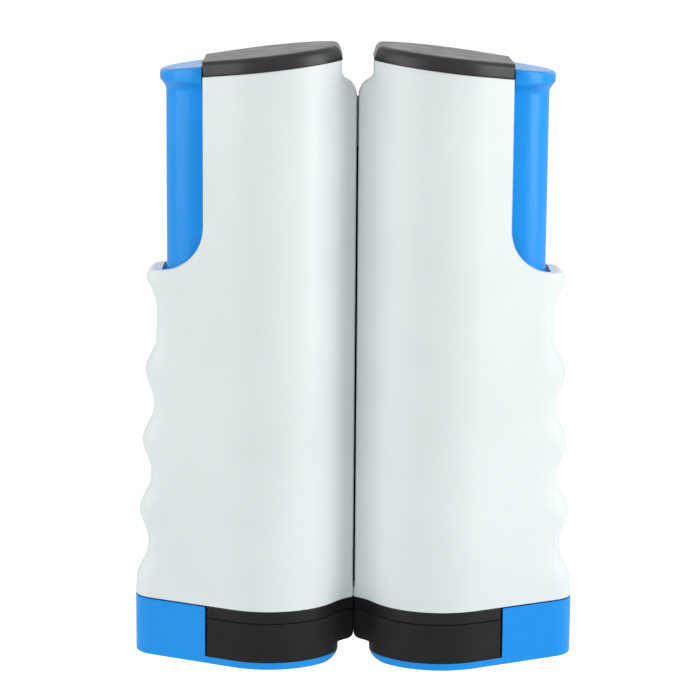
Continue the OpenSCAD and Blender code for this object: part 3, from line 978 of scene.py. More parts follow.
@dataclass
class Housing(PostPart):
    """The two half shells of one post, with the finger grip and the recess for the thumb head.

    The skin of the front half is a grid. Its columns run from the lips over barrel and flank to the
    nose, and its rows from the bottom edge to the cap, each ending at its own X. The back half is
    the same, mirrored.
    """

    steps: PlanSteps = PlanSteps()
    left_corner: float = 2.4
    right_corner: float = 1.0
    warp_x: float = 54.0
    closed_slot: float = 0.02
    ledge_wall: float = 0.7
    neck: float = 1.6
    grip_rows: int = 84
    neck_rows: int = 10
    bead_rows: int = 8
    shelf_rows: int = 2
    recess_rows: int = 18
    upper_rows: int = 38
    lip_top_rows: int = 4
    lip_top_from: float = 0.919
    settling: int = 4
    edge: float = 0.3
    edge_y: float = 0.3
    seam_edge: float = 0.12
    seam_y: float = 0.05
    web_bite: float = 1.2
    web_lift: float = 0.3
    web_drop: float = 0.05
    screw_z: Pair = (44.5, 87.7)
    screw_head_y: float = 4.0
    screw_tip_y: float = 6.0
    rib_x: Pair = (57.1, 58.4)
    rib_y: Pair = (1.5, 3.5)
    rib_z: Pair = (19.0, 114.9)
    rib_edge: float = 0.2
    boss_r: float = 2.5
    boss_z: Pair = (21.0, 31.0)
    rows: list[Row] = field(default_factory=list, init=False)
    ledge_row: int = field(default=0, init=False)
    lines: dict[tuple[int, float, float], Line] = field(default_factory=dict, init=False)

    def __post_init__(self) -> None:
        """Lists the rows of the skin from the bottom edge to the cap."""
        f = self.form
        neck = f.crest_z - self.neck * f.shoulder_r
        heights = spread(f.shell_z, neck, self.grip_rows) + spread(neck, f.crest_z, self.neck_rows)
        self.rows = [Row(f.grip_edge(z), z, 0.0, Zone.GRIP) for z in heights]
        bead = arc((f.bead_x, f.crest_z), f.shoulder_r, 0.0, QUARTER, self.bead_rows)
        self.rows += [Row(x, z, i / self.bead_rows, Zone.BEAD) for i, (x, z) in enumerate(bead)]
        cx, cz = f.web_out + f.recess_r, f.shoulder_z + f.recess_r
        ledge = math.acos((f.channel_x - cx) / f.recess_r)
        recess = [(x, f.shoulder_z) for x in spread(f.bead_x, cx, self.shelf_rows)]
        recess += arc((cx, cz), f.recess_r, -QUARTER, -ledge, self.shelf_rows)
        recess += arc((cx, cz), f.recess_r, -ledge, -math.pi, self.recess_rows)
        recess.append((f.web_out, cz))
        self.rows += [Row(x, z, 1.0, Zone.RECESS) for x, z in recess]
        self.ledge_row = len(self.rows) - self.recess_rows - 1
        shares = spread(0.0, self.lip_top_from, self.upper_rows)[1:]
        shares += spread(self.lip_top_from, 1.0, self.lip_top_rows) + [1.0]
        self.rows += [Row(f.web_out, cz, share, Zone.UPPER) for share in shares]

    @property
    def barrel_start(self) -> int:
        """Column of the skin where the barrel starts."""
        return self.steps.tip + self.steps.corner + self.steps.hollow

    @property
    def flank_end(self) -> int:
        """Column of the skin where the flank ends."""
        return self.barrel_start + self.steps.barrel + self.steps.flank

    def pull(self, x: float, depth: float) -> float:
        """Draws a point of the outline in, more the nearer it is to the nose's tip.

        Args:
            x: X of the point.
            depth: How far the tip itself is drawn in.

        Returns:
            The point's new X.
        """
        if x <= self.warp_x:
            return x
        t = (x - self.warp_x) / (self.form.nose_tip - self.warp_x)
        return x - depth * t * t

    def unpull(self, x: float, depth: float) -> float:
        """The point that pull() brings to x.

        Args:
            x: X after the pull.
            depth: How far the tip itself is drawn in.

        Returns:
            X before the pull.
        """
        if x <= self.warp_x:
            return x
        k = depth / (self.form.nose_tip - self.warp_x) ** 2
        return self.warp_x + (1 - math.sqrt(1 - 4 * k * (x - self.warp_x))) / (2 * k)

    def slot_y(self, z: float) -> float:
        """Half width of the net's slot at height z, which closes above and below the net."""
        f = self.form
        return f.slot_half if f.slot_z0 < z < f.slot_z1 else self.closed_slot

    def height_at(self, row: Row, x: float) -> float:
        """Height of a row at x, where the rows under the cap follow its slope."""
        slope = row.share * (self.form.cap_under(x) - row.height)
        return row.height + slope if row.zone is Zone.UPPER else row.height

    def flank_stop(self, row: Row, depth: float) -> float:
        """X where the flank's line stops, before the nose is drawn in.

        Args:
            row: The row of the skin.
            depth: How far the tip of the nose is drawn in there.

        Returns:
            The X.
        """
        f = self.form
        if row.zone in (Zone.RECESS, Zone.UPPER):
            return self.unpull(row.limit, depth)
        nose_end = f.nose_x + f.nose_r * f.sine
        return nose_end + (self.unpull(f.bead_x, depth) - nose_end) * row.share if row.share else nose_end

    def outside(self, i: int, j: int) -> Point:
        """Point of the outer skin of the front half.

        Args:
            i: Its column, from the lips to the nose.
            j: Its row, from the bottom edge to the cap.

        Returns:
            The point.
        """
        f, row = self.form, self.rows[j]
        depth = f.nose_tip - (row.limit if row.zone is Zone.GRIP else f.grip_edge(f.crest_z))
        end = self.flank_stop(row, depth)
        if i <= self.flank_end:
            z = row.height
            for _ in range(self.settling):
                start = f.lip_start(z)
                z = self.height_at(row, start)
            x, y = self.line(start, end, j)[i]
            return (self.pull(x, depth), -y, self.height_at(row, x))
        k = (i - self.flank_end) / self.steps.nose
        flat_y = f.flank_y(end) * (1 - k)
        if row.zone in (Zone.RECESS, Zone.UPPER):
            return (row.limit, -flat_y, row.height)
        a = f.turn * (1 - k)
        x, y = self.pull(f.nose_x + f.nose_r * math.cos(a), depth), f.nose_r * math.sin(a)
        if row.zone is Zone.BEAD:
            x, y = min(x, row.limit), y + (flat_y - y) * row.share
        return (x, -y, row.height)

    def line(self, start: float, end: float, j: int) -> Line:
        """The outline in one row, worked out once.

        Args:
            start: X of the lips' face.
            end: X where the flank stops.
            j: The row.

        Returns:
            Points (x, half depth).
        """
        key = (j, start, end)
        if key not in self.lines:
            first = self.slot_y(self.height_at(self.rows[j], start))
            corner = self.left_corner if self.side is Side.LEFT else self.right_corner
            self.lines[key] = self.form.front_line(start, end, first, self.steps, corner)
        return self.lines[key]

    def inside(self, i: int, j: int) -> Point:
        """Point of the inner skin of the front half.

        Args:
            i: Its column, from the lips to the nose.
            j: Its row, from the bottom edge to the cap.

        Returns:
            The point.
        """
        f, s, row = self.form, self.steps, self.rows[j]
        inner = f.barrel_r - f.wall
        flat_y = math.sqrt(inner**2 - (f.barrel_x - f.chamber_x) ** 2)
        edge = self.barrel_start
        if i <= edge:
            z = self.height_at(row, f.chamber_x)
            first = self.slot_y(z)
            return (f.chamber_x, -(first + (flat_y - first) * i / edge), z)
        if i <= edge + s.barrel:
            turned = math.atan2(flat_y, f.chamber_x - f.barrel_x)
            a = turned + (f.turn - turned) * (i - edge) / s.barrel
            x, y = f.barrel_x + inner * math.cos(a), inner * math.sin(a)
            return (x, -y, self.height_at(row, x))
        flank_x = f.barrel_x + inner * f.sine
        end = min(row.limit, f.channel_x)
        if i <= self.flank_end:
            x = flank_x + (end - flank_x) * (i - edge - s.barrel) / s.flank
            return (x, -f.flank_y(x, f.wall), self.height_at(row, x))
        ledge = self.rows[self.ledge_row].height - f.shell_z
        z = f.shell_z + (row.height - f.shell_z) * (ledge - self.ledge_wall) / ledge
        k = (i - self.flank_end) / s.nose
        return (end, -f.flank_y(end, f.wall) * (1 - k), z)

    def shell(self, half: Half) -> BMesh:
        """Builds one half shell.

        Args:
            half: Front or back.

        Returns:
            The closed mesh, for the right-hand post.
        """
        columns, rows = self.flank_end + self.steps.nose, len(self.rows) - 1
        bm = bmesh.new()
        column_of = bm.verts.layers.int.new("column")
        row_of = bm.verts.layers.int.new("row")
        for v, (i, j) in grid_indices(bm, columns, rows).items():
            v[column_of], v[row_of] = i, j
        open_faces = [
            face
            for face in bm.faces
            if min(v[column_of] for v in face.verts) >= self.flank_end
            and min(v[row_of] for v in face.verts) >= self.ledge_row
        ]
        bmesh.ops.delete(bm, geom=open_faces, context="FACES")
        walls = bmesh.ops.extrude_face_region(bm, geom=bm.faces[:], use_keep_orig=True)
        inner = {v for v in walls["geom"] if isinstance(v, BMVert)}
        for v in bm.verts:
            place = self.inside if v in inner else self.outside
            v.co = Vector(place(v[column_of], v[row_of]))
        bmesh.ops.recalc_face_normals(bm, faces=bm.faces)
        seam_y, edge_y = self.seam_y, self.edge_y
        round_edges(bm, self.seam_edge, 1, HARD_EDGE, lambda e: all(abs(v.co.y) < seam_y for v in e.verts))
        round_edges(bm, self.edge, 2, HARD_EDGE, lambda e: any(abs(v.co.y) > edge_y for v in e.verts))
        bm = cut(bm, self.screw_holes(half))
        self.add_web(bm)
        self.add_rib(bm)
        bmesh.ops.scale(bm, vec=(1, -half.value, 1), verts=bm.verts)
        bmesh.ops.recalc_face_normals(bm, faces=bm.faces)
        return bm

    def screw_holes(self, half: Half) -> BMesh:
        """Makes the tools for the grip screws' holes, which have room for the heads in the back half.

        Args:
            half: Front or back.

        Returns:
            The tools.
        """
        f = self.form
        tools = bmesh.new()
        for z in self.screw_z:
            x = (f.channel_x + f.grip_x(z)) / 2
            depth = self.screw_head_y + DRILL_LAP if half is Half.BACK else self.screw_tip_y
            drill(tools, (x, DRILL_OVER, z), (x, -depth, z), f.screw_hole)
            if half is Half.BACK:
                drill(tools, (x, -self.screw_head_y, z), (x, -f.nose_r - DRILL_OVER, z), f.head_hole)
        return tools

    def add_web(self, bm: BMesh) -> None:
        """Adds the wall between the net's chamber and the slider's channel.

        Args:
            bm: The mesh of the front half, which gets the wall.
        """
        f = self.form
        part = bmesh.new()
        low = (f.web_in, -f.flank_y(f.web_out, f.wall) - self.web_bite, f.shell_z + self.web_lift)
        block(part, low, (f.web_out - HAIR, -2 * HAIR, f.cap_z))
        for v in part.verts:
            if v.co.z > f.shoulder_z:
                v.co.z = f.cap_under(v.co.x) - self.web_drop
        round_edges(part, self.rib_edge, 2, HARD_EDGE)
        add_mesh(bm, part)

    def add_rib(self, bm: BMesh) -> None:
        """Adds the rib that the column slides along, and the bosses for the jaw's screws.

        Args:
            bm: The mesh of the front half, which gets them.
        """
        part = bmesh.new()
        (x0, x1), (y0, y1), (z0, z1) = self.rib_x, self.rib_y, self.rib_z
        block(part, (x0, -y1, z0), (x1, -y0, z1))
        round_edges(part, self.rib_edge, 2, HARD_EDGE)
        for x, y in self.form.screws:
            if y < 0:
                drill(part, (x, y, self.boss_z[0]), (x, y, self.boss_z[1]), self.boss_r)
        add_mesh(bm, part)

    def build(self, finishes: Finishes) -> None:
        """Makes both half shells.

        Args:
            finishes: The finishes of the set.
        """
        for half in Half:
            name, node = f"{half.word}_housing", f"{half.word}_shell"
            self.put(name, self.shell(half), "post", node, "housing", finishes.housing)


# ---- Cap and jaws ----


@dataclass
class TopCap(PostPart):
    """The black cap on a post: a drafted plate with rounded edges, tilted to the fall of the top."""

    steps: PlanSteps = PlanSteps(tip=4, corner=8, hollow=0, barrel=34, flank=6, nose=8)
    overhang: float = 0.4
    corner: float = 3.2
    end_gap: float = 0.2
    levels: tuple[Pair, ...] = (
        (0.0, 0.3), (0.1, 0.1), (0.3, 0.0), (0.9, 0.05), (2.4, 0.34), (3.0, 0.5),
        (3.45, 0.7), (3.85, 0.98), (4.15, 1.3), (4.36, 1.68), (4.47, 2.1), (4.5, 2.5),
    )

    def body(self) -> BMesh:
        """Builds the plate from its levels, each a height and how far the outline is drawn in there.

        Returns:
            The closed mesh.
        """
        f = self.form
        rings = []
        for z, inset in self.levels:
            out = inset - self.overhang
            line = f.teardrop(f.flat_x + out, f.web_out - self.end_gap, out, self.steps, self.corner)
            rings.append(at_height(around(line), z))
        bm = bmesh.new()
        closed_loft(bm, rings)
        centre = Vector((f.barrel_x, 0, 0))
        bmesh.ops.translate(bm, vec=-centre, verts=bm.verts)
        bmesh.ops.rotate(bm, verts=bm.verts, matrix=Matrix.Rotation(math.atan(f.cap_fall), 3, "Y"))
        bmesh.ops.translate(bm, vec=centre + Vector((0, 0, f.cap_z + HAIR)), verts=bm.verts)
        return bm

    def build(self, finishes: Finishes) -> None:
        """Makes the cap."""
        self.put("cap", self.body(), "post", "top_cap", "cap", finishes.cap)


@dataclass
class Jaws(PostPart):
    """The fixed upper jaw under the housing and the rubber pad of the lower jaw."""

    lip_steps: PlanSteps = PlanSteps(tip=3, corner=4, hollow=6, barrel=30, flank=6, nose=6)
    lip_corner: float = 1.0
    toe_steps: PlanSteps = PlanSteps(tip=3, corner=10, hollow=0, barrel=30, flank=6, nose=6)
    toe_corner: float = 12.0
    plug_steps: PlanSteps = PlanSteps(tip=4, corner=0, hollow=0, barrel=24, flank=4, nose=4)
    plug_x: Pair = (7.4, 43.1)
    plug_inset: float = 2.6
    plug_z: Pair = (17.5, 21.0)
    upper_edge: float = 0.45
    pad_edge: float = 0.95
    tab_z: float = 5.0
    tab_r: float = 1.6
    tab_rings: int = 6
    step_z: float = 15.8

    def ring(self, start: float, z: float) -> Ring:
        """Closed outline with lips.

        Args:
            start: X of the lips' face.
            z: Its height.

        Returns:
            The outline's points.
        """
        count = self.lip_steps.nose
        line = self.form.front_line(start, self.form.jaw_end, 0.0, self.lip_steps, self.lip_corner)
        x, y = line.pop()
        return at_height(around(line + [(x, side) for side in spread(y, 0.0, count)] + [(x, 0.0)]), z)

    def upper(self) -> BMesh:
        """Builds the upper jaw, with its plug inside the housing.

        Returns:
            The mesh of both.
        """
        f = self.form
        bm = bmesh.new()
        closed_loft(bm, [self.ring(f.toe_x, z) for z in (f.seam_z, f.shell_z - 2 * HAIR)])
        round_edges(bm, self.upper_edge, 4, SOFT_EDGE)
        bm = cut(bm, self.screw_holes())
        plug = around(f.teardrop(*self.plug_x, self.plug_inset, self.plug_steps))
        part = bmesh.new()
        closed_loft(part, [at_height(plug, z) for z in self.plug_z])
        add_mesh(bm, cut(part, self.screw_holes()))
        return bm

    def screw_holes(self) -> BMesh:
        """Makes the tools for the four stepped screw holes, from below.

        Returns:
            The tools.
        """
        f = self.form
        tools = bmesh.new()
        top, bottom = self.plug_z[1] + DRILL_OVER, f.seam_z - DRILL_OVER
        for x, y in f.screws:
            drill(tools, (x, y, self.step_z - DRILL_LAP), (x, y, top), f.screw_hole)
            drill(tools, (x, y, bottom), (x, y, self.step_z), f.head_hole)
        return tools

    def pad(self) -> BMesh:
        """Builds the pad, with a round toe below and a tab that reaches out under the lips above it.

        Returns:
            The closed mesh.
        """
        f = self.form
        toe = around(f.teardrop(f.flat_x, f.jaw_end, 0.0, self.toe_steps, self.toe_corner))
        rings = [at_height(toe, z) for z in (f.plate_t, self.tab_z - HAIR)]
        for a in (*spread(0.0, QUARTER, self.tab_rings), QUARTER):
            start = f.toe_x + self.tab_r * (1 - math.sin(a))
            rings.append(self.ring(start, self.tab_z + self.tab_r * (1 - math.cos(a))))
        rings.append(self.ring(f.toe_x, f.pad_top))
        bm = bmesh.new()
        closed_loft(bm, rings)
        round_edges(bm, self.pad_edge, 5, HARD_EDGE)
        return bm

    def build(self, finishes: Finishes) -> None:
        """Makes the upper jaw and the pad."""
        self.put("fixed_jaw", self.upper(), "post", "upper_jaw", "cap", finishes.jaw)
        self.put("pad", self.pad(), "jaw", "jaw_pad", "pad", finishes.pad)


# ---- Slider ----


@dataclass
class Slider(PostPart):
    """The blue slider: plate and back panel of the lower jaw, column, flare and thumb head."""

    column_x: float = 46.2
    column_r: float = 10.6
    column_z: float = 14.0
    face_steps: int = 6
    round_steps: tuple[int, ...] = (4, 8, 7)
    window_x: Pair = (48.05, 54.45)
    window_z: Pair = (21.7, 110.0)
    window_slack: float = 0.1
    head_x: float = 44.0
    head_r: float = 14.6
    head_sunk: float = 1.5
    head_levels: tuple[Pair, ...] = ((0.0, 0.9), (0.12, 0.45), (0.42, 0.14), (0.9, 0.0))
    flare_z: float = 171.95
    flare_lead: float = 8.0
    flare_rings: int = 8
    flare_share: float = 0.94
    flare_curve: float = 1.7
    rim_z: float = 174.95
    rim_t: float = 0.45
    foot_steps: PlanSteps = PlanSteps(tip=4, corner=8, hollow=0, barrel=34, flank=10, nose=14)
    foot_edge: float = 0.45
    toe_corner: float = 10.0
    toe_levels: tuple[Pair, ...] = ((0.0, 2.2), (0.5, 1.15), (1.1, 0.45))
    panel_top: float = 17.45
    panel_in: float = 44.9

    def half_ring(self, centre: float, radius: float) -> Line:
        """Half outline of the column or head: flat face, then the round with points beside the window.

        Args:
            centre: X of the round's middle.
            radius: Its radius.

        Returns:
            Points (x, half depth).
        """
        flat = self.form.panel_x
        flat_y = math.sqrt(radius**2 - (flat - centre) ** 2)
        points = [(flat, y) for y in spread(0.0, flat_y, self.face_steps)]
        stops = [math.acos((x - centre) / radius) for x in (flat, *self.window_x)] + [0.0]
        for start, end, count in zip(stops, stops[1:], self.round_steps):
            points += arc((centre, 0.0), radius, start, end, count)
        return points + [(centre + radius, 0.0)]

    def add_column(self, bm: BMesh) -> None:
        """Adds the column with its window, the flare and the thumb head.

        Args:
            bm: The slider's mesh.
        """
        f = self.form
        column = around(self.half_ring(self.column_x, self.column_r))
        straight = (self.column_z, *self.window_z, self.flare_z - self.flare_lead)
        rings = [at_height(column, z) for z in straight]
        for t in (*spread(0.0, 1.0, self.flare_rings), 1.0):
            share = self.flare_share * t**self.flare_curve
            x = self.column_x + (self.head_x - self.column_x) * share
            radius = self.column_r + (self.head_r - self.column_r) * share
            z = self.flare_z + (self.rim_z - self.flare_z) * t
            rings.append(at_height(around(self.half_ring(x, radius)), z))
        rings.append(at_height(around(self.half_ring(self.head_x, self.head_r)), self.rim_z + self.rim_t))
        for inset, drop in self.head_levels:
            ring = around(self.half_ring(self.head_x, self.head_r - inset))
            rings.append([(x, y, f.cap_under(x) + f.cap_t - self.head_sunk - drop) for x, y in ring])
        part = bmesh.new()
        closed_loft(part, rings)
        self.cut_window(part)
        add_mesh(bm, part)

    def cut_window(self, part: BMesh) -> None:
        """Opens the spring's window through the column.

        Args:
            part: The column's closed mesh.
        """
        (x0, x1), (z0, z1), slack = self.window_x, self.window_z, self.window_slack
        doors = [
            face
            for face in part.faces
            if all(x0 - slack < v.co.x < x1 + slack for v in face.verts)
            and all(z0 - slack < v.co.z < z1 + slack for v in face.verts)
            and abs(face.normal.z) < LEVEL_FACE
        ]
        opened = set(doors)
        rims = [e for e in part.edges if sum(face in opened for face in e.link_faces) == 1]
        bmesh.ops.delete(part, geom=doors, context="FACES")
        made = bmesh.ops.bridge_loops(part, edges=rims)
        LOG.info("window: %d doors, %d rim edges, %d walls", len(doors), len(rims), len(made["faces"]))

    def add_foot(self, bm: BMesh) -> None:
        """Adds the jaw's plate, whose toe draws back towards the bottom, and the back panel.

        Args:
            bm: The slider's mesh.
        """
        f = self.form
        rings = []
        for z, inset in (*self.toe_levels, (f.plate_t, 0.0)):
            line = f.teardrop(f.flat_x + inset, f.nose_tip, 0.0, self.foot_steps, self.toe_corner)
            rings.append(at_height(around(line), z))
        part = bmesh.new()
        closed_loft(part, rings)
        bmesh.ops.bisect_plane(
            part, geom=part.verts[:] + part.edges[:] + part.faces[:],
            plane_co=(self.panel_in, 0, 0), plane_no=(1, 0, 0), dist=WELD,
        )
        top = [
            face
            for face in part.faces
            if face.normal.z > LEVEL_FACE and face.calc_center_median().x > self.panel_in
        ]
        raised = bmesh.ops.extrude_face_region(part, geom=top)
        verts = [v for v in raised["geom"] if isinstance(v, BMVert)]
        bmesh.ops.translate(part, vec=(0, 0, self.panel_top - f.plate_t), verts=verts)
        bmesh.ops.delete(part, geom=[face for face in top if face.is_valid], context="FACES_ONLY")
        bmesh.ops.recalc_face_normals(part, faces=part.faces)
        round_edges(part, self.foot_edge, 3, HARD_EDGE)
        add_mesh(bm, part)

    def build(self, finishes: Finishes) -> None:
        """Makes the slider.

        Args:
            finishes: The finishes of the set.
        """
        bm = bmesh.new()
        self.add_column(bm)
        self.add_foot(bm)
        self.put("thumb_slider", bm, "jaw", "slider", "slider", finishes.slider)


# ---- Clamp spring ----


@dataclass
class ClampSpring(PostPart):
    """The wire spring inside the slider, drawn at its full length; it rides on the post and doesn't close
    up as the head is pressed down.
    """

    axis_x: float = 51.25
    z0: float = 25.0
    length: float = 85.0
    travel: float = 42.0
    outside: float = 6.0
    wire: float = 0.9
    wire_sides: int = 8
    turns: int = 19
    close_turns: float = 1.5
    close_gap: float = 0.45
    rings: int = 18

    def coil(self) -> BMesh:
        """Winds the wire: closed at both ends and open between.

        Returns:
            The closed mesh.
        """
        bm = bmesh.new()
        wire_r, coil_r = self.wire / 2, (self.outside - self.wire) / 2
        start = Matrix.Translation((self.axis_x + coil_r, 0, self.z0 + wire_r))
        upright = Matrix.Rotation(QUARTER, 4, "X")
        bmesh.ops.create_circle(bm, segments=self.wire_sides, radius=wire_r, matrix=start @ upright)
        tip = bm.verts[:] + bm.edges[:]
        close = self.wire + self.close_gap
        open_turns = self.turns - 2 * self.close_turns
        pitch = (self.length - self.wire - 2 * self.close_turns * close) / open_turns
        for turns, rise in ((self.close_turns, close), (open_turns, pitch), (self.close_turns, close)):
            spun = bmesh.ops.spin(
                bm, geom=tip, cent=(self.axis_x, 0, 0), axis=(0, 0, 1), dvec=(0, 0, rise / self.rings),
                angle=2 * math.pi * turns, steps=round(turns * self.rings),
                use_duplicate=False, use_merge=False,
            )
            tip = spun["geom_last"]
        bmesh.ops.holes_fill(bm, edges=[e for e in bm.edges if e.is_boundary], sides=0)
        return bm

    def build(self, finishes: Finishes) -> None:
        """Makes the spring.

        Args:
            finishes: The finishes of the set.
        """
        piece = self.put("wire_spring", self.coil(), "post", "clamp_spring", "spring", finishes.spring)
        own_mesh(piece)


# ---- Net ----


@dataclass
class Net:
    """The net between the posts, its tape and what is wound on the roller."""

    form: PostForm = FORM
    z0: float = 21.4
    height: float = 152.5
    wound: float = 1700.0
    tape_h: float = 15.0
    tape_t: float = 0.22
    tape_fold: float = 0.15
    tape_gap: float = 0.05
    mesh: float = 4.9
    cord: float = 0.62
    cover: float = 0.301
    roll_r: float = 15.19
    roll_gap: float = 0.05
    roll_steps: int = 40
    roll_rows: int = 4
    tube_r: float = 6.01
    layer: float = 0.36
    reach: float = 1650.0
    fade: Pair = (-7.0, -1.0)
    search: float = 200.0
    halvings: int = 60
    bar_x: float = 10.5
    bar_r: float = 2.05
    sleeve: float = 13.0
    sleeve_gap: float = 0.2
    sleeve_steps: int = 20
    leave: Pair = (-12.83, -8.61)
    corner: Pair = (-2.0, -0.7)
    corner_dip: float = 4.0

    def share(self, x: float) -> float:
        """How far a point at x goes along with the right-hand post, from 0 to 1."""
        return ease((x - self.fade[0]) / (self.fade[1] - self.fade[0]))

    def dip(self, x: float) -> float:
        """How far the net's top corner is drawn down where it nears the bar."""
        return self.corner_dip * ease((x - self.corner[0]) / (self.corner[1] - self.corner[0]))

    def rest_x(self, stretched: float) -> float:
        """Where a point of the stretched net lies when the posts stand together.

        Args:
            stretched: X of the point on the stretched net.

        Returns:
            Its X at rest, found by halving.
        """
        low, high = -self.search, self.search
        for _ in range(self.halvings):
            middle = (low + high) / 2
            if middle + self.share(middle) * self.reach < stretched:
                low = middle
            else:
                high = middle
        return (low + high) / 2

    def path(self, x: float) -> Pair:
        """Point of the net's run at x in plan: from the roll to the left slot, then straight."""
        t = (x + self.form.chamber_x) / (self.leave[0] + self.form.chamber_x)
        return (x, max(0.0, t) * self.leave[1])

    def columns(self, step: float, cord: float) -> list[float]:
        """Edges of the upright cords at rest, from the roll to the bar, with one cord between the posts.

        Args:
            step: Distance from cord to cord on the stretched net.
            cord: Width of a cord.

        Returns:
            X of each edge at rest.
        """
        start, end = self.leave[0], self.reach + self.bar_x - self.bar_r
        middle = self.reach - cord / 2
        edges = [start]
        for k in range(math.ceil((start - middle) / step), math.floor((end - cord - middle) / step) + 1):
            edges += [middle + k * step, middle + k * step + cord]
        return [self.rest_x(x) for x in (*edges, end)]

    def wrap(self, bm: BMesh, z0: float, z1: float, gap: float) -> None:
        """Adds the sleeve round the bar.

        Args:
            bm: The mesh that gets the sleeve.
            z0: Its lower end.
            z1: Its upper end.
            gap: Its distance from the bar.
        """
        edge = arc((self.bar_x, 0.0), self.bar_r + gap, math.pi, 3 * math.pi, self.sleeve_steps)
        loft(bm, self.sleeve_steps, 1, lambda i, j: (*edge[i % self.sleeve_steps], (z0, z1)[j]))

    def netting(self) -> BMesh:
        """Builds the netting between the posts, with open meshes.

        Returns:
            The mesh, of single faces.
        """
        edges = self.columns(self.mesh, self.cord)
        top = self.z0 + self.height - self.tape_h - self.tape_gap
        levels = [self.z0]
        for k in range(int((top - self.z0) / self.mesh)):
            levels += [self.z0 + k * self.mesh + self.cord, self.z0 + (k + 1) * self.mesh]
        levels.append(top)
        bm = bmesh.new()
        places = grid_indices(bm, len(edges) - 1, len(levels) - 1)
        holes = [
            face
            for face in bm.faces
            if min(places[v][0] for v in face.verts) % 2 == 0
            and min(places[v][1] for v in face.verts) % 2 == 1
        ]
        for v, (i, j) in places.items():
            v.co = Vector((*self.path(edges[i]), levels[j]))
        bmesh.ops.delete(bm, geom=holes, context="FACES")
        self.wrap(bm, self.z0, top - self.corner_dip, self.sleeve_gap)
        return bm

    def tape(self) -> BMesh:
        """Builds the tape along the net's top edge, folded over it.

        Returns:
            The mesh, of single faces.
        """
        z0, z1 = self.z0 + self.height - self.tape_h, self.z0 + self.height
        columns = self.columns(self.mesh * 2, self.mesh)
        fold = z1 - self.tape_fold
        section = ((-self.tape_t, z0), (-self.tape_t, fold), (self.tape_t, fold), (self.tape_t, z0))
        bm = bmesh.new()

        def point(i: int, j: int) -> Point:
            """A corner of the tape.

            Args:
                i: Its place along the tape.
                j: Its place across the folded tape.

            Returns:
                The corner.
            """
            x, y = self.path(columns[i])
            return (x, y + section[j][0], section[j][1] - self.dip(x))

        loft(bm, len(columns) - 1, len(section) - 1, point)
        self.wrap(bm, z0 - self.corner_dip, z1 - self.corner_dip, self.sleeve_gap + self.tape_gap)
        return bm

    def roll(self) -> BMesh:
        """Builds the wound net as one spiral layer.

        Returns:
            The mesh, of single faces.
        """
        turns = (self.roll_r - self.tube_r - 2 * self.roll_gap) / self.layer
        steps = round(turns * self.roll_steps)
        bm = bmesh.new()

        def point(i: int, j: int) -> Point:
            """A point of the spiral.

            Args:
                i: Its step along the spiral.
                j: Its row, from the bottom up.

            Returns:
                The point.
            """
            wound = turns * i / steps
            a, r = 2 * math.pi * wound, self.tube_r + self.roll_gap + self.layer * wound
            z = self.z0 + self.height * j / self.roll_rows
            return (self.form.barrel_x + r * math.cos(a), r * math.sin(a), z)

        loft(bm, steps, self.roll_rows, point)
        return bm

    def build(self, finishes: Finishes) -> None:
        """Makes the wound net, the run between the posts and its tape.

        Args:
            finishes: The finishes of the set.
        """
        roll = make_piece("wound_net", self.roll(), Side.LEFT, recalc=False)
        settle(roll, "net_roller", "net_roll", finishes.netting)
        run = self.stretch("netting_run", self.netting(), "net_run", finishes.netting)
        tape = self.stretch("tape_run", self.tape(), "net_tape", finishes.tape)

    def stretch(
        self, name: str, bm: BMesh, node: str, finish: bpy.types.Material
    ) -> bpy.types.Object:
        """Makes a piece of the net that runs from the left-hand post to the right-hand one, as they stand
        at rest.

        Args:
            name: Name of the piece.
            bm: Its mesh, which is freed.
            node: The node that it stands for.
            finish: Its material.

        Returns:
            The new object.
        """
        piece = make_piece(name, bm, Side.RIGHT, recalc=False)
        piece.modifiers.clear()
        piece.data.materials.append(finish)
        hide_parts(node)
        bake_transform(piece)
        return piece


# ---- Pieces that keep the mesh of their node ----


@dataclass(frozen=True)
class Hardware:
    """Screws, axle, bar, tube, bushes and seats, which keep their own meshes and get a finish."""

    steel: tuple[str, ...] = (
        "left_grip_screws", "left_jaw_screws", "right_grip_screws", "right_jaw_screws",
        "roller_axle", "net_bar",
    )
    spring: tuple[str, ...] = ("return_spring",)
    tube: tuple[str, ...] = ("roller_tube",)
    black: tuple[str, ...] = ("roller_bushes", "left_spring_seat", "right_spring_seat")

    def dress(self, nodes: dict[str, bpy.types.Object], finishes: Finishes) -> None:
        """Gives each node its finish.

        Args:
            nodes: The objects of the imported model, by name.
            finishes: The finishes of the set.
        """
        chosen = (
            (self.steel, finishes.steel), (self.spring, finishes.spring),
            (self.tube, finishes.tube), (self.black, finishes.jaw),
        )
        for names, finish in chosen:
            for name in names:
                slots = nodes[name].data.materials
                if len(slots):
                    slots[0] = finish
                else:
                    slots.append(finish)
                LOG.info("%s: %s", name, finish.name)


# ---- Studio ----


@dataclass(frozen=True)
class Lamp:
    """A soft rectangular lamp that faces the object, in metres, degrees and watts."""

    name: str
    azimuth: float
    rise: float
    size: Pair
    power: float
    distance: float = 1.5
    aim_z: float = 0.09

    def hang(self) -> None:
        """Hangs the lamp, its azimuth counted from the camera's side towards the right."""
        a = math.radians(self.azimuth)
        aim = Vector((0, 0, self.aim_z))
        place = aim + Vector((math.sin(a), -math.cos(a), 0)) * self.distance + Vector((0, 0, self.rise))
        data = bpy.data.lights.new(self.name, "AREA")
        data.shape = "RECTANGLE"
        data.size, data.size_y = self.size
        data.energy = self.power
        lamp = bpy.data.objects.new(self.name, data)
        lamp.location = place
        lamp.rotation_euler = (aim - place).to_track_quat("-Z", "Y").to_euler()
        bpy.context.scene.collection.objects.link(lamp)


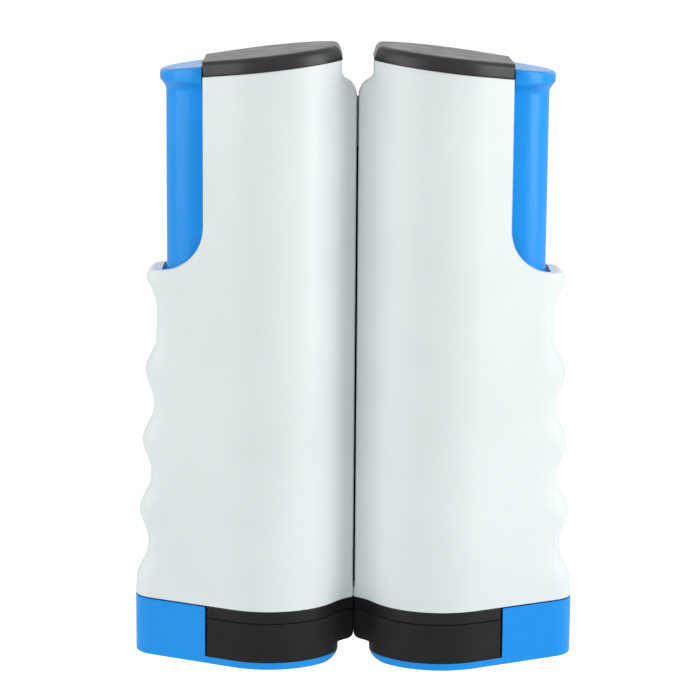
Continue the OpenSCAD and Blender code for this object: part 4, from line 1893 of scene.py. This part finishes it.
@dataclass(frozen=True)
class Studio:
    """Floor, light and camera."""

    camera_x: float = -10.0
    distance: float = 785.4
    height: float = 243.3
    pitch: float = 10.799
    yaw: float = 0.606
    roll: float = 0.481
    focal: float = 2647.0
    picture: float = 700.0
    sensor: float = 36.0
    clip: Pair = (0.01, 50.0)
    ambient: float = 0.44
    floor_colour: tuple[float, ...] = (0.86, 0.86, 0.86, 1)
    floor_glow: float = 0.66
    floor_size: float = 6.0
    floor_z: float = -0.0425
    lamps: tuple[Lamp, ...] = (
        Lamp("key", 71, 0.35, (0.9, 1.4), 18.3),
        Lamp("fill", -66, 0.32, (1.4, 1.4), 13.9),
    )

    def floor(self) -> None:
        """Lays a pale floor that an open jaw stands on, with a shadow, and see-through from below."""
        bm = bmesh.new()
        level = Matrix.Translation((0, 0, self.floor_z))
        bmesh.ops.create_grid(bm, x_segments=1, y_segments=1, size=self.floor_size, matrix=level)
        mesh = bpy.data.meshes.new("floor")
        bm.to_mesh(mesh)
        bm.free()
        floor = bpy.data.objects.new("floor", mesh)
        bpy.context.scene.collection.objects.link(floor)
        material = bpy.data.materials.new("pale floor")
        w = Wiring(material)
        w.tree.nodes.clear()
        matt = w.node("ShaderNodeBsdfDiffuse", {"Color": self.floor_colour}).outputs[0]
        seen = w.node("ShaderNodeLightPath").outputs["Is Camera Ray"]
        share = w.node("ShaderNodeMath", {0: seen, 1: self.floor_glow}, operation="MULTIPLY").outputs[0]
        glow = w.node("ShaderNodeEmission", {"Strength": share}).outputs[0]
        lit = w.node("ShaderNodeAddShader", {0: matt, 1: glow}).outputs[0]
        below = w.node("ShaderNodeNewGeometry").outputs["Backfacing"]
        clear = w.node("ShaderNodeBsdfTransparent").outputs[0]
        surface = w.node("ShaderNodeMixShader", {0: below, 1: lit, 2: clear}).outputs[0]
        w.node("ShaderNodeOutputMaterial", {"Surface": surface})
        floor.data.materials.append(material)

    def sky(self) -> None:
        """Sets a plain world that the camera and clear reflections see as white."""
        world = bpy.data.worlds.new("studio")
        bpy.context.scene.world = world
        w = Wiring(world)
        rays = w.node("ShaderNodeLightPath").outputs
        seen = {0: rays["Is Camera Ray"], 1: rays["Is Glossy Ray"]}
        white = w.node("ShaderNodeMath", seen, operation="MAXIMUM").outputs[0]
        level = w.node("ShaderNodeMapRange", {"Value": white, "To Min": self.ambient, "To Max": 1.0})
        back = w.first("BACKGROUND")
        w.feed(back.inputs["Color"], (1, 1, 1, 1))
        w.feed(back.inputs["Strength"], level.outputs["Result"])

    def camera(self) -> None:
        """Sets up the camera."""
        data = bpy.data.cameras.new("camera")
        data.sensor_width = self.sensor
        data.lens = self.focal * self.sensor / self.picture
        data.clip_start, data.clip_end = self.clip
        camera = bpy.data.objects.new("camera", data)
        p, y = math.radians(self.pitch), math.radians(self.yaw)
        forward = Vector((math.sin(y) * math.cos(p), math.cos(y) * math.cos(p), -math.sin(p)))
        camera.location = Vector((self.camera_x, -self.distance, self.height)) * MM
        roll = Matrix.Rotation(math.radians(self.roll), 3, "Z").to_quaternion()
        camera.rotation_euler = (forward.to_track_quat("-Z", "Y") @ roll).to_euler()
        bpy.context.scene.collection.objects.link(camera)
        bpy.context.scene.camera = camera

    def build(self) -> None:
        """Makes camera, floor, world and lamps, and sets how colours are shown."""
        bpy.context.scene.view_settings.view_transform = "Standard"
        self.camera()
        self.floor()
        self.sky()
        for lamp in self.lamps:
            lamp.hang()


def main() -> None:
    """Builds every piece."""
    logging.basicConfig(level=logging.INFO, format="%(message)s")
    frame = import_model()
    Studio().build()
    finishes = Finishes()
    for side in Side:
        for part in (Housing(side), TopCap(side), Jaws(side), Slider(side), ClampSpring(side)):
            part.build(finishes)
    Net().build(finishes)
    Hardware().dress(frame["nodes"], finishes)


if __name__ == "__main__":
    main()
